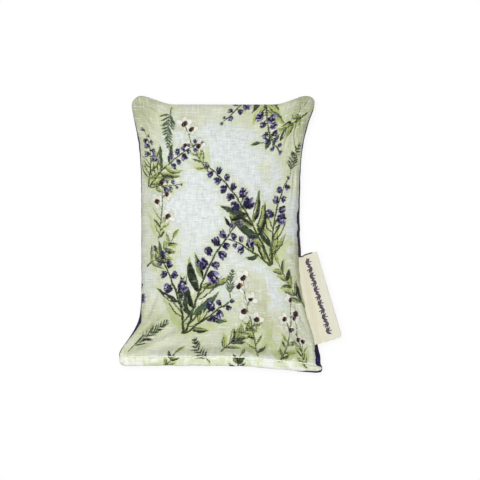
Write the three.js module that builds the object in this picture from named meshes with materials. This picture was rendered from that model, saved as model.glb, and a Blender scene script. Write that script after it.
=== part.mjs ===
// A stuffed lavender sachet: a small cotton bag, filled with dried lavender buds, lying on its back.
// Two cloth panels are sewn together along both sides and the top, and turned, so that their seam
// allowances lie inside. The open bottom edge is turned in and closed with one row of topstitching,
// which makes a flat hem of four plies. A folded label tape is caught in the right side seam and can
// flap about it.
// Units are millimetres. +X is the right side, +Y the top edge, +Z the front panel. The origin is the
// middle of the flat patch on which the sachet rests.
import * as THREE from "three";

// Outline of the sachet, seen from the front
const length = 147.4;
const waistLeft = 42.6;
const waistRight = 41.5;
const bottomFlareLeft = 11.6;
const bottomFlareRight = 12;
const bottomReachLeft = 13;
const bottomReachRight = 31;
const topFlareLeft = 5.6;
const topFlareRight = 9.4;
const topReachLeft = 22;
const topReachRight = 19;
const topSag = 4.8;
const hemDrop = 4.2;
const topCornerRadius = 4.4;
const hemCornerRadius = 2.6;

// Thickness, and how deep the back is pressed flat where the sachet rests
const frontRise = 22.5;
const backDrop = 17.3;
const restingDepth = 0.5;

// Cloth, seams and hem
const clothThickness = 0.45;
const plyGap = 0.3;
const insideGap = 0.14;
const seamAllowance = 7;
const hemDepth = 4.8;
const hemTurnIn = 9.6;
const hemPuffHeight = 0.35;
const foldFadeWidth = 0.7;
const foldRadius = 0.6;

// Sewing thread
const hemThreadDiameter = 0.42;
const hemStitch = 2.5;
const hemStitchRise = 0.24;
const hemThreadSetback = 0.42;
const hemThreadGap = 0.12;
const seamThreadDiameter = 0.26;
const seamThreadInset = 2.5;

// Label tape, folded once, with its two ends caught in the right side seam
const labelThickness = 0.35;
const labelPlyGap = 0.28;
const labelPinch = 0.5;
const labelPinchReach = 1;
const labelHingeGap = 0.5;
const labelWidth = 47.5;
const labelReach = 7.6;
const labelHemSetback = 10.5;
const labelTilt = THREE.MathUtils.degToRad(16.6);
const labelFoldRadius = 0.45;
const labelCornerRadius = 2.4;
const labelClearance = 0.3;
const labelTailDepth = 5.6;
const labelRoomReach = 13;

// Filling
const fillingGap = 0.5;
const fillingRimCells = 2;

// How the crown of each panel falls off towards its edges
const crownShares = {
  front: {
    left: { power: 2.3, fall: 0.66 },
    right: { power: 2, fall: 0.62 },
    along: { power: 2.24, fall: 0.78 },
  },
  back: {
    left: { power: 1.6, fall: 0.44 },
    right: { power: 1.65, fall: 0.47 },
    along: { power: 2.3, fall: 0.81 },
  },
};

// Broad swells and hollows of the stuffed crowns. Each one has its place, its reach across and along,
// as shares of swellReach, and its rise, as a share of swellRise. They fade out where the crown is lower
// than swellFadeHeight.
const swellReach = 10;
const swellRise = 1;
const swellFadeHeight = 8;
const swellShares = {
  front: [
    { s: -0.45, v: 0.56, across: 1.8, along: 2.4, rise: 0.9 },
    { s: -0.03, v: 0.68, across: 1.2, along: 1.3, rise: 0.9 },
    { s: 0.62, v: 0.58, across: 1.6, along: 2.4, rise: -1.3 },
    { s: 0.2, v: 0.52, across: 1.2, along: 1.1, rise: -0.7 },
    { s: -0.38, v: 0.31, across: 1.6, along: 1.1, rise: -1 },
    { s: 0.62, v: 0.31, across: 1.5, along: 1.3, rise: 0.8 },
    { s: 0.68, v: 0.09, across: 1.3, along: 1, rise: 1 },
    { s: 0.3, v: 0.92, across: 1.4, along: 0.9, rise: -1.1 },
    { s: -0.3, v: 0.19, across: 1.4, along: 0.9, rise: 0.6 },
    { s: -0.65, v: 0.1, across: 1.2, along: 1.2, rise: -0.9 },
  ],
  back: [
    { s: -0.5, v: 0.36, across: 1.6, along: 1.4, rise: 0.7 },
    { s: 0.5, v: 0.35, across: 1.6, along: 1.3, rise: 0.6 },
    { s: 0.6, v: 0.7, across: 1.6, along: 2, rise: -0.9 },
    { s: -0.6, v: 0.78, across: 1.4, along: 1.2, rise: -0.8 },
    { s: 0, v: 0.77, across: 1.4, along: 1, rise: -0.6 },
    { s: 0.1, v: 0.13, across: 2.2, along: 1.2, rise: 0.6 },
    { s: 0.75, v: 0.87, across: 1.2, along: 1.2, rise: -0.8 },
  ],
};
const flarePowerShares = { left: 1.8, right: 1.45 };
const earShares = { start: 0.52, full: 0.93 };
const hemBendShares = { start: 0.2, softness: 0.1 };

// Facets
const cellsAcross = 16;
const cellsAlong = 22;
const endCrowdingShare = 0.76;
const labelSteps = 10;
const stepsPerStitch = 4;
const seamThreadSteps = 56;
const differenceShare = 1e-4;

const SIDE = { front: 1, back: -1 };
const halfLength = length / 2;
const crownLength = length - hemDepth - topSag;

const lerp = THREE.MathUtils.lerp;
const fade = (distance, reach, power) => Math.exp(-Math.pow(Math.abs(distance) / reach, power));

// The fold of the hem runs level on the left and downhill on the right, with the stitch row beside it.
function hemFoldY(s) {
  const right = (s - hemBendShares.start) / (1 - hemBendShares.start);
  return -halfLength + hemDrop * (1 - (right + Math.hypot(right, hemBendShares.softness)) / 2);
}

const stitchRowY = (s) => hemFoldY(s) + hemDepth;

// The top edge is drawn down between the two corners, which stand up as ears.
function topEdgeY(s) {
  const ear = THREE.MathUtils.smoothstep(Math.abs(s), earShares.start, earShares.full);
  return halfLength - topSag * (1 - ear);
}

function leftEdgeX(y) {
  const aboveHem = Math.max(y - stitchRowY(-1), 0);
  const belowTop = Math.max(halfLength - y, 0);
  const bottom = bottomFlareLeft * fade(aboveHem, bottomReachLeft, flarePowerShares.left);
  const top = topFlareLeft * fade(belowTop, topReachLeft, flarePowerShares.left);
  return -(waistLeft + bottom + top);
}

function rightEdgeX(y) {
  const aboveHem = Math.max(y - stitchRowY(1), 0);
  const belowTop = Math.max(halfLength - y, 0);
  const bottom = bottomFlareRight * fade(aboveHem, bottomReachRight, flarePowerShares.right);
  const top = topFlareRight * fade(belowTop, topReachRight, flarePowerShares.right);
  return waistRight + bottom + top;
}

// A point of the plan, from s, -1 at the left seam to 1 at the right, and v, 0 at the stitch row to 1
// at the top seam
function planPoint(s, v) {
  const y = lerp(stitchRowY(s), topEdgeY(s), v);
  const left = leftEdgeX(lerp(stitchRowY(-1), topEdgeY(-1), v));
  const right = rightEdgeX(lerp(stitchRowY(1), topEdgeY(1), v));
  return { x: lerp(left, right, (s + 1) / 2), y, halfWidth: (right - left) / 2 };
}

// Draws the square corner between two edges in to a round one. across and along are distances from
// the two edges.
function roundedCorner(across, along, radius) {
  const a = radius - across;
  const b = radius - along;
  if (a <= 0 || b <= 0) return { across, along };
  const shrink = Math.max(a, b) / Math.hypot(a, b);
  return { across: radius - a * shrink, along: radius - b * shrink };
}

// The same plan point, with the two top corners rounded
function roundedPlanPoint(s, v) {
  const plain = planPoint(s, v);
  const across = (1 - Math.abs(s)) * plain.halfWidth;
  const along = (1 - v) * crownLength;
  const round = roundedCorner(across, along, topCornerRadius);
  return {
    x: plain.x - Math.sign(s) * (round.across - across),
    y: plain.y - (round.along - along),
    halfWidth: plain.halfWidth,
  };
}

// The label ends a set distance above the stitch row. The seam opens a little beside it, because it
// lies between the two seam allowances.
const labelTopY = stitchRowY(1) + labelHemSetback + labelWidth;
const labelStack = 2 * labelThickness + labelPlyGap;
const labelRoom = (labelStack + 2 * labelClearance - plyGap) / 2;
const labelAlong = new THREE.Vector2(Math.sin(labelTilt), -Math.cos(labelTilt));
const labelAcross = new THREE.Vector2(Math.cos(labelTilt), Math.sin(labelTilt));

function seamOpening(s, y) {
  const low = labelTopY - labelWidth - foldRadius - labelThickness;
  const high = labelTopY + labelReach;
  const beyond = Math.max(low - y, y - high, 0);
  const reach = y < low ? hemDepth : labelRoomReach;
  const nearSeam = fade((1 - s) * waistRight, labelRoomReach, 2);
  return s > 0 ? labelRoom * nearSeam * (1 - THREE.MathUtils.smoothstep(beyond, 0, reach)) : 0;
}

// Height of a panel's outer face over the seam plane
const foldedPlies = 2 * clothThickness + insideGap;
const seamFold = foldedPlies + seamThreadDiameter + 2 * insideGap;
const seamHeight = plyGap / 2 + seamFold + backDrop - restingDepth;

const crownShare = (place, { power, fall }) => Math.pow(1 - Math.pow(Math.abs(place), power), fall);

function crownHeight(side, s, v) {
  const face = side > 0 ? "front" : "back";
  const { left, right, along } = crownShares[face];
  const rise = side > 0 ? frontRise : backDrop;
  const height = rise * crownShare(s, s < 0 ? left : right) * crownShare(2 * v - 1, along);
  let swelling = 0;
  for (const swell of swellShares[face]) {
    const offside = ((s - swell.s) * waistLeft) / (swellReach * swell.across);
    const onward = ((v - swell.v) * crownLength) / (swellReach * swell.along);
    swelling += swellRise * swell.rise * Math.exp(-(offside ** 2) - onward ** 2);
  }
  return height + swelling * THREE.MathUtils.smoothstep(height, 0, swellFadeHeight);
}

function outerPoint(side, s, v) {
  const plan = roundedPlanPoint(s, v);
  const fromSide = (1 - Math.abs(s)) * plan.halfWidth;
  const fromTop = (1 - v) * crownLength;
  const fromStitches = v * crownLength;
  const rolled = (1 - fade(fromSide, foldFadeWidth, 1)) * (1 - fade(fromTop, foldFadeWidth, 1));
  const fold = lerp(seamFold, foldedPlies, fade(fromStitches, hemDepth, 2));
  const height = plyGap / 2 + seamOpening(s, plan.y) + fold * rolled + crownHeight(side, s, v);
  return new THREE.Vector3(plan.x, plan.y, Math.max(seamHeight + side * height, 0));
}

// Outward normal of a panel, from differences along both directions
function outerNormal(side, s, v) {
  const step = differenceShare;
  const left = outerPoint(side, Math.max(s - step, -1), v);
  const right = outerPoint(side, Math.min(s + step, 1), v);
  const low = outerPoint(side, s, Math.max(v - step, 0));
  const high = outerPoint(side, s, Math.min(v + step, 1));
  return right.sub(left).cross(high.sub(low)).normalize().multiplyScalar(side);
}

// A point under the outer face by a depth, along the normal
function insidePoint(side, s, v, depth) {
  return outerPoint(side, s, v).addScaledVector(outerNormal(side, s, v), -depth);
}

// Parameters of the grid: crowded towards the seams, where the cloth turns
const sAt = (i) => Math.sin((i / cellsAcross - 1 / 2) * Math.PI);
const vAt = (j) => {
  const t = j / cellsAlong;
  return t - (endCrowdingShare * Math.sin(2 * Math.PI * t)) / (2 * Math.PI);
};

// Turns a sheet, whose vertices each have a point on both faces, and its cells into one closed geometry.
// A cell lists its corners counterclockwise, seen from the outer face. A vertex on the border may have
// more points between its two faces, so that the border has a profile of its own.
function sheetSolid(vertices, cells) {
  const positions = [];
  const chains = new Map();
  for (const [name, { outer, inner, rim = [] }] of vertices)
    chains.set(name, [outer, ...rim, inner].map((point) => positions.push(...point.toArray()) / 3 - 1));
  const triangles = [];
  const quad = (a, b, c, d) => triangles.push(a, b, c, a, c, d);
  const edges = new Map();
  for (const cell of cells) {
    quad(...cell.map((name) => chains.get(name)[0]));
    quad(...cell.map((name) => chains.get(name).at(-1)).reverse());
    cell.forEach((from, n) => {
      const to = cell[(n + 1) % cell.length];
      edges.set(from + ">" + to, [from, to]);
    });
  }
  for (const [from, to] of edges.values()) {
    if (edges.has(to + ">" + from)) continue;
    const [a, b] = [chains.get(from), chains.get(to)];
    for (let n = 0; n + 1 < a.length; n++) quad(b[n], a[n], a[n + 1], b[n + 1]);
  }
  const geometry = new THREE.BufferGeometry();
  geometry.setAttribute("position", new THREE.Float32BufferAttribute(positions, 3));
  geometry.setIndex(triangles);
  geometry.computeVertexNormals();
  return geometry;
}

const key = (i, j) => i + "," + j;
const facing = (side, corners) => (side > 0 ? corners : corners.reverse());

// The plan direction from a seam point into the sachet
function inwardAt(i, j) {
  if (i === 0) return new THREE.Vector3(1, 0, 0);
  if (i === cellsAcross) return new THREE.Vector3(-1, 0, 0);
  return new THREE.Vector3(0, j === cellsAlong ? -1 : 1, 0);
}

// One cloth panel: the crown, the rolled seam edge, the seam allowances turned in, and the folded hem
function panelGeometry(side) {
  const vertices = new Map();
  const cells = [];
  const put = (name, outer, inner) => vertices.set(name, { outer, inner });
  const seamPlane = (s, y) => seamHeight + side * (plyGap / 2 + seamOpening(s, y));

  for (let i = 0; i <= cellsAcross; i++)
    for (let j = 0; j <= cellsAlong; j++) {
      const s = sAt(i);
      const v = vAt(j);
      const outer = outerPoint(side, s, v);
      const onSeam = i === 0 || i === cellsAcross || j === cellsAlong;
      if (!onSeam) {
        const down = j === 0 ? new THREE.Vector3(0, 0, side) : outerNormal(side, s, v);
        put(key(i, j), outer, outer.clone().addScaledVector(down, -clothThickness));
        continue;
      }
      // On the seam the outer face is the edge of the fold, and the inner face the crotch inside it.
      const corner = (i === 0 || i === cellsAcross) && j === cellsAlong;
      const inward = corner
        ? new THREE.Vector3(i === 0 ? 1 : -1, -1, 0).normalize()
        : inwardAt(i, j);
      const lift = side * (foldRadius * (j === 0 ? 1 : 1 / 2));
      outer.z = seamPlane(s, outer.y) + lift;
      const inner = outer.clone().addScaledVector(inward, foldRadius + clothThickness);
      inner.z = seamPlane(s, outer.y) + side * (clothThickness + insideGap / 2);
      put(key(i, j), outer, inner);
    }
  for (let i = 0; i < cellsAcross; i++)
    for (let j = 0; j < cellsAlong; j++)
      cells.push(facing(side, [key(i, j), key(i + 1, j), key(i + 1, j + 1), key(i, j + 1)]));

  // Seam allowances: under the fold the cloth runs back inwards, flat on the seam plane.
  const allowance = (list, inner) => {
    const usable = list.filter(([i, j]) => inner(i, j));
    for (const [i, j] of usable) {
      const edge = vertices.get(key(i, j)).outer;
      const inward = inwardAt(i, j);
      const plane = seamPlane(sAt(i), edge.y);
      [foldRadius, seamAllowance].forEach((inset, step) => {
        const outer = edge.clone().addScaledVector(inward, inset);
        outer.z = plane;
        const underInset = Math.max(inset, foldRadius + 2 * clothThickness);
        const under = edge.clone().addScaledVector(inward, underInset);
        under.z = plane + side * clothThickness;
        put(key(i, j) + "/" + step, outer, under);
      });
    }
    for (let n = 0; n + 1 < usable.length; n++) {
      const [a, b] = [key(...usable[n]), key(...usable[n + 1])];
      cells.push(facing(side, [a, b, b + "/0", a + "/0"]));
      cells.push(facing(side, [a + "/0", b + "/0", b + "/1", a + "/1"]));
    }
  };
  const clearOfHem = (j) => vAt(j) * crownLength > hemTurnIn - hemDepth + plyGap;
  const clearOfTop = (j) => (1 - vAt(j)) * crownLength > seamAllowance + plyGap;
  const clearOfSides = (i) => (1 - Math.abs(sAt(i))) * waistLeft > seamAllowance + plyGap;
  const rows = Array.from({ length: cellsAlong + 1 }, (_, j) => j);
  const columns = Array.from({ length: cellsAcross + 1 }, (_, i) => i);
  allowance(rows.map((j) => [0, j]), (i, j) => clearOfHem(j) && clearOfTop(j));
  allowance(rows.map((j) => [cellsAcross, j]).reverse(), (i, j) => clearOfHem(j) && clearOfTop(j));
  allowance(columns.map((i) => [i, cellsAlong]), (i) => clearOfSides(i));

  // The hem: outside from the stitch row to the fold, round it, and back inwards under the outer ply
  const puffed = foldedPlies + hemPuffHeight;
  const plies = [
    { drop: hemDepth / 2, height: puffed, inner: puffed - clothThickness },
    { drop: hemDepth - foldRadius, height: foldedPlies, inner: foldedPlies - clothThickness },
    { drop: hemDepth, height: foldedPlies / 2, inner: foldedPlies / 2, fold: true },
    { drop: hemDepth - foldRadius, height: 0, inner: clothThickness },
    { drop: hemDepth - hemTurnIn, height: 0, inner: clothThickness },
  ];
  for (let i = 0; i <= cellsAcross; i++) {
    const s = sAt(i);
    const row = vertices.get(key(i, 0)).outer;
    const base = seamHeight + (side * plyGap) / 2;
    const atSide = i === 0 || i === cellsAcross;
    plies.forEach((ply, step) => {
      const fromFold = hemDepth - ply.drop;
      const fromSide = (1 - Math.abs(s)) * waistLeft;
      const round = roundedCorner(fromSide, Math.min(fromFold, hemDepth), hemCornerRadius);
      const x = row.x - Math.sign(s) * (round.across - fromSide);
      const y = hemFoldY(s) + (ply.drop < 0 ? fromFold : round.along);
      // The sides of the hem are closed by the seam, so their outer ply comes down to the fold.
      const height = atSide ? Math.min(ply.height, foldedPlies / 2 + insideGap) : ply.height;
      const outer = new THREE.Vector3(x, y, base + side * height);
      const inset = atSide ? foldRadius : 0;
      const inner = new THREE.Vector3(x - Math.sign(s) * inset, y, base + side * ply.inner);
      if (ply.fold) {
        inner.y += clothThickness;
        inner.z = base + side * (clothThickness + insideGap / 2);
      }
      if (atSide && !ply.fold) inner.z = base + side * Math.min(ply.inner, clothThickness + insideGap);
      put("hem" + step + ":" + i, outer, inner);
    });
  }
  for (let i = 0; i < cellsAcross; i++)
    plies.forEach((ply, step) => {
      const over = (n) => (step === 0 ? key(n, 0) : "hem" + (step - 1) + ":" + n);
      const under = (n) => "hem" + step + ":" + n;
      const turnedIn = step === plies.length - 1;
      if (turnedIn && (i === 0 || i === cellsAcross - 1)) return;
      cells.push(facing(side, [under(i), under(i + 1), over(i + 1), over(i)]));
    });
  const used = new Set(cells.flat());
  for (const name of [...vertices.keys()]) if (!used.has(name)) vertices.delete(name);
  return sheetSolid(vertices, cells);
}

// The filling: one body of buds that follows the panels at a small gap. Its rim has a groove for the
// seam allowances.
function fillingGeometry() {
  const depth = clothThickness + fillingGap;
  const vertices = new Map();
  const cells = [];
  const grooveDepth = seamAllowance + 2 * fillingGap;
  const rimS = sAt(cellsAcross - fillingRimCells);
  const rimV = vAt(cellsAlong - fillingRimCells);
  const acrossShare = (1 - grooveDepth / waistRight) / rimS;
  const alongShare = (crownLength - 2 * grooveDepth) / (crownLength * (2 * rimV - 1));
  const groovePoint = (side, s, v, inset) => {
    const share = inset ? [s * acrossShare, 1 / 2 + (v - 1 / 2) * alongShare] : [s, v];
    const plan = roundedPlanPoint(...share);
    const height = plyGap / 2 + seamOpening(s, plan.y) + seamFold - clothThickness + fillingGap;
    return new THREE.Vector3(plan.x, plan.y, seamHeight + side * height);
  };
  for (let i = fillingRimCells; i <= cellsAcross - fillingRimCells; i++)
    for (let j = fillingRimCells; j <= cellsAlong - fillingRimCells; j++) {
      const [s, v] = [sAt(i), vAt(j)];
      const onRim =
        Math.min(i, cellsAcross - i) === fillingRimCells || Math.min(j, cellsAlong - j) === fillingRimCells;
      const rim = [[SIDE.front, false], [SIDE.front, true], [SIDE.back, true], [SIDE.back, false]];
      vertices.set(key(i, j), {
        outer: insidePoint(SIDE.front, s, v, depth),
        inner: insidePoint(SIDE.back, s, v, depth),
        rim: onRim ? rim.map(([side, inset]) => groovePoint(side, s, v, inset)) : [],
      });
      if (i < cellsAcross - fillingRimCells && j < cellsAlong - fillingRimCells)
        cells.push([key(i, j), key(i + 1, j), key(i + 1, j + 1), key(i, j + 1)]);
    }
  return sheetSolid(vertices, cells);
}

// The label swings about a straight line just outside the seam. Its outer edge slants away from that
// line.
const hingePoint = (y) => new THREE.Vector2(rightEdgeX(y) + labelHingeGap, y);
const hingeTop = hingePoint(labelTopY);
const hingeAlong = hingePoint(labelTopY - labelWidth).sub(hingeTop).normalize();
const labelOuterTop = hingeTop.clone().addScaledVector(labelAcross, labelReach);
const labelOuterEdge = (a) => labelOuterTop.clone().addScaledVector(labelAlong, labelWidth * a);
const labelRoot = (outerEdge) =>
  outerEdge.clone().sub(hingeTop).cross(hingeAlong) / labelAcross.cross(hingeAlong);
const labelAt = (outerEdge, back, z) =>
  new THREE.Vector3(outerEdge.x - labelAcross.x * back, outerEdge.y - labelAcross.y * back, z);

// A strip of the folded tape at one place along its length. The path runs under, round the fold and over.
function labelStrip(a) {
  const outerEdge = labelOuterEdge(a);
  const fromEnd = (1 - a) * labelWidth;
  const bite = Math.max(labelCornerRadius - fromEnd, 0);
  const cut = labelCornerRadius - Math.sqrt(labelCornerRadius ** 2 - bite ** 2);
  const root = labelRoot(outerEdge);
  const open = root - labelPinchReach;
  const bend = cut + labelFoldRadius + labelThickness;
  const inner = labelPlyGap / 2;
  const outer = labelStack / 2;
  const pinch = labelPinch / 2;
  const ply = (side) => [
    { outer: [root, side * pinch], inner: [root, (side * pinch * inner) / outer] },
    { outer: [open, side * outer], inner: [open, side * inner] },
    { outer: [bend, side * outer], inner: [bend, side * inner] },
  ];
  const fold = { outer: [cut, 0], inner: [cut + labelThickness, 0] };
  return [...ply(SIDE.back), fold, ...ply(SIDE.front).reverse()].map((point) => ({
    outer: labelAt(outerEdge, point.outer[0], seamHeight + point.outer[1]),
    inner: labelAt(outerEdge, point.inner[0], seamHeight + point.inner[1]),
  }));
}

// Places along the label, crowded at the end with the rounded corner
const labelPlaces = Array.from({ length: labelSteps + 1 }, (_, n) =>
  Math.sin(((n / labelSteps) * Math.PI) / 2),
);

function labelFlapGeometry() {
  const vertices = new Map();
  const cells = [];
  labelPlaces.forEach((a, n) => {
    const strip = labelStrip(a);
    strip.forEach((point, k) => {
      vertices.set(key(n, k), point);
      if (n < labelSteps && k + 1 < strip.length)
        cells.push([key(n, k), key(n, k + 1), key(n + 1, k + 1), key(n + 1, k)]);
    });
  });
  return sheetSolid(vertices, cells);
}

// The two ends of the tape, lying on each other between the seam allowances
function labelTailGeometry() {
  const vertices = new Map();
  const cells = [];
  for (let n = 0; n <= labelSteps; n++) {
    const outerEdge = labelOuterEdge(n / labelSteps);
    const root = labelRoot(outerEdge);
    [root + labelHingeGap, root + labelTailDepth].forEach((back, k) => {
      vertices.set(key(n, k), {
        outer: labelAt(outerEdge, back, seamHeight + labelStack / 2),
        inner: labelAt(outerEdge, back, seamHeight - labelStack / 2),
      });
    });
    if (n < labelSteps) cells.push([key(n, 0), key(n, 1), key(n + 1, 1), key(n + 1, 0)]);
  }
  return sheetSolid(vertices, cells);
}

function threadGeometry(curve, diameter, steps) {
  curve.arcLengthDivisions = steps * stepsPerStitch;
  const radius = diameter / 2;
  const section = new THREE.Shape([
    new THREE.Vector2(radius, 0),
    new THREE.Vector2(0, radius),
    new THREE.Vector2(-radius, 0),
    new THREE.Vector2(0, -radius),
  ]);
  return new THREE.ExtrudeGeometry(section, { steps, extrudePath: curve });
}

// The thread of the topstitching on one face of the hem: a row of low humps, one for each stitch
class HemStitching extends THREE.Curve {
  constructor(side) {
    super();
    this.side = side;
    this.from = leftEdgeX(stitchRowY(-1)) + hemCornerRadius / 2;
    this.to = rightEdgeX(stitchRowY(1)) - hemCornerRadius / 2;
    this.stitches = Math.round((this.to - this.from) / hemStitch);
  }
  getPoint(t) {
    const x = lerp(this.from, this.to, t);
    const s = lerp(-1, 1, t);
    const hump = Math.abs(Math.sin(Math.PI * this.stitches * t));
    const lowest = plyGap / 2 + foldedPlies + hemPuffHeight * (hemThreadSetback / hemDepth) * 2;
    const height = lowest + hemThreadGap + hemThreadDiameter / 2 + hemStitchRise * hump;
    return new THREE.Vector3(x, stitchRowY(s) - hemThreadSetback, seamHeight + this.side * height);
  }
}

// The thread of the closed seam, which runs on the allowance up one side, across the top and down the
// other side
function seamThreadCurve(side) {
  const points = [];
  const add = (i, j) => {
    const s = sAt(i);
    const plan = roundedPlanPoint(s, vAt(j));
    const toSide = (1 - Math.abs(s)) * plan.halfWidth;
    const toTop = (1 - vAt(j)) * crownLength;
    const x = plan.x - Math.sign(s) * Math.max(seamThreadInset - toSide, 0);
    const y = plan.y - Math.max(seamThreadInset - toTop, 0);
    const height = plyGap / 2 + seamOpening(s, y) + clothThickness + insideGap + seamThreadDiameter / 2;
    points.push(new THREE.Vector3(x, y, seamHeight + side * height));
  };
  let lowRow = 0;
  while (vAt(lowRow) * crownLength < hemTurnIn) lowRow++;
  for (let j = lowRow; j < cellsAlong - 1; j++) add(0, j);
  for (let i = 1; i < cellsAcross; i++) add(i, cellsAlong);
  for (let j = cellsAlong - 2; j >= lowRow; j--) add(cellsAcross, j);
  return new THREE.CatmullRomCurve3(points, false, "centripetal");
}

const paint = (color, roughness) => new THREE.MeshStandardMaterial({ color, roughness, metalness: 0 });
const materials = {
  frontCloth: paint(0xd6dcc4, 0.92),
  backCloth: paint(0x2c1f52, 0.9),
  label: paint(0xe4e2c6, 0.8),
  thread: paint(0xf0efd2, 0.7),
  buds: paint(0x8d84a6, 1),
};

const sachet = new THREE.Group();
const add = (name, geometry, material) => {
  const mesh = new THREE.Mesh(geometry, material);
  mesh.name = name;
  sachet.add(mesh);
};

add("front_panel", panelGeometry(SIDE.front), materials.frontCloth);
add("back_panel", panelGeometry(SIDE.back), materials.backCloth);
add("lavender_filling", fillingGeometry(), materials.buds);
add("label_flap", labelFlapGeometry(), materials.label);
add("label_tail", labelTailGeometry(), materials.label);
for (const [name, side] of [["needle", SIDE.front], ["bobbin", SIDE.back]]) {
  const stitching = new HemStitching(side);
  const steps = stitching.stitches * stepsPerStitch;
  add("hem_" + name + "_thread", threadGeometry(stitching, hemThreadDiameter, steps), materials.thread);
  const seam = threadGeometry(seamThreadCurve(side), seamThreadDiameter, seamThreadSteps);
  add("seam_" + name + "_thread", seam, materials.thread);
}

export default sachet;
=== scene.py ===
"""A stuffed lavender sachet, lying on its back on a white surface. Lengths are in millimetres until a
mesh is made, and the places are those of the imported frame."""

import math

import bpy
import numpy as np
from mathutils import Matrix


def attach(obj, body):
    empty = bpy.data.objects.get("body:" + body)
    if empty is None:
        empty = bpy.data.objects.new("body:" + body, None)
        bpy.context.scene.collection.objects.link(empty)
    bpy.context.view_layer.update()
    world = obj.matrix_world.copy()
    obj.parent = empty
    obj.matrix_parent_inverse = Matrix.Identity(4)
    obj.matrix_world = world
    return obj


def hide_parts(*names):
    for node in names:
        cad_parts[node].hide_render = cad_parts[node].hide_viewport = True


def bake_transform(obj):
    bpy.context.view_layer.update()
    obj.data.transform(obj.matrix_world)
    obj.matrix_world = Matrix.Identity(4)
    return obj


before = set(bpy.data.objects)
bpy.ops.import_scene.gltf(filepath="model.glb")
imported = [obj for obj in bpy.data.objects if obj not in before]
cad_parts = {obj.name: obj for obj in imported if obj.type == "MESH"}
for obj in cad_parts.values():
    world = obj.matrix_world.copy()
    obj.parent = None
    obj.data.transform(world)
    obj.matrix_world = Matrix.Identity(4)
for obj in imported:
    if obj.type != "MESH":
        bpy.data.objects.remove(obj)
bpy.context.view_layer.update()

MM = 0.001
TURN = 2 * math.pi

# Outline of the sachet, as in the frame but for its two top corners, which are rounder here
LENGTH = 147.4
HALF_LENGTH = LENGTH / 2
HALF_WAIST = 42.6
# Left and right side: half the waist, flare and its reach at the bottom, the same at the top, and power
SIDES = {-1: (HALF_WAIST, 11.6, 13.0, 5.6, 22.0, 1.8), 1: (41.5, 12.0, 31.0, 9.4, 19.0, 1.45)}
TOP_SAG = 4.8
EAR_START, EAR_FULL = 0.52, 0.93
HEM_DROP = 4.2
HEM_BEND_START, HEM_BEND_SOFTNESS = 0.2, 0.1
TOP_CORNER = 6.8
HEM_CORNER = 2.6
FRONT_RISE = 22.5
BACK_DROP = 17.3
SEAM_Z = 18.53
HEM_DEPTH = 4.8
CROWN_LENGTH = LENGTH - HEM_DEPTH - TOP_SAG

# Broad swells and hollows of the stuffed crown, as in the frame: place from side to side, place along,
# reach across, reach along and rise
SWELLS = {
    1: (
        (-0.45, 0.56, 18, 24, 0.9), (-0.03, 0.68, 12, 13, 0.9), (0.62, 0.58, 16, 24, -1.3),
        (0.2, 0.52, 12, 11, -0.7), (-0.38, 0.31, 16, 11, -1.0), (0.62, 0.31, 15, 13, 0.8),
        (0.68, 0.09, 13, 10, 1.0), (0.3, 0.92, 14, 9, -1.1), (-0.3, 0.19, 14, 9, 0.6),
        (-0.65, 0.1, 12, 12, -0.9),
    ),
    -1: (
        (-0.5, 0.36, 16, 14, 0.7), (0.5, 0.35, 16, 13, 0.6), (0.6, 0.7, 16, 20, -0.9),
        (-0.6, 0.78, 14, 12, -0.8), (0.0, 0.77, 14, 10, -0.6), (0.1, 0.13, 22, 12, 0.6),
        (0.75, 0.87, 12, 12, -0.8),
    ),
}

# The cloth, laid flat. Its length runs from the fold of the hem to the top seam.
CLOTH_WIDTH = 108.0
CLOTH_LENGTH = 152.0
CLOTH_CORNER = 7.0
CLOTH_HALF = CLOTH_WIDTH / 2
BAG_LENGTH = CLOTH_LENGTH - HEM_DEPTH
# The square sheet that the flat places are laid out on, and the place of the hem's fold on it
SHEET = 180.0
SHEET_FOLD = 14.0
HEM_AT = SHEET_FOLD + HEM_DEPTH

# Folded edges
SEAM_ROLL = 0.7
HEM_STACK = 1.2
HEM_PUFF = 0.35
HEM_FOLD = 0.6
PLY_HALF_GAP = 0.1
STITCH = 2.5

# Label tape
LABEL_WIDTH = 47.5
LABEL_REACH = 7.6
LABEL_HEM_SETBACK = 10.5
LABEL_TILT = math.radians(16.6)
LABEL_CORNER = 2.4
LABEL_THICKNESS = 0.35
LABEL_GAP = 0.3
LABEL_HINGE_GAP = 0.5


def lerp(a, b, t):
    return a + (b - a) * t


def smooth(t):
    t = np.clip(t, 0, 1)
    return t * t * (3 - 2 * t)


def fade(distance, reach, power):
    return np.exp(-((np.abs(distance) / reach) ** power))


def hem_fold_y(s):
    right = (s - HEM_BEND_START) / (1 - HEM_BEND_START)
    return -HALF_LENGTH + HEM_DROP * (1 - (right + np.hypot(right, HEM_BEND_SOFTNESS)) / 2)


def stitch_row_y(s):
    return hem_fold_y(s) + HEM_DEPTH


def top_edge_y(s):
    return HALF_LENGTH - TOP_SAG * (1 - smooth((np.abs(s) - EAR_START) / (EAR_FULL - EAR_START)))


def edge_x(side, y):
    """Where the outline's left side, -1, or its right side, 1, lies at y."""
    waist, bottom_flare, bottom_reach, top_flare, top_reach, power = SIDES[side]
    above = np.maximum(y - stitch_row_y(side), 0)
    below = np.maximum(HALF_LENGTH - y, 0)
    flare = bottom_flare * fade(above, bottom_reach, power)
    return side * (waist + flare + top_flare * fade(below, top_reach, power))


def corner(a, b, where=True):
    """Which points lie in a rounded corner, and the share that each keeps of its way past the start of
    the rounding, which is a along one side and b along the other."""
    cut = where & (a > 0) & (b > 0)
    return cut, np.where(cut, np.maximum(a, b) / np.maximum(np.hypot(a, b), 1e-9), 1)


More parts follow.
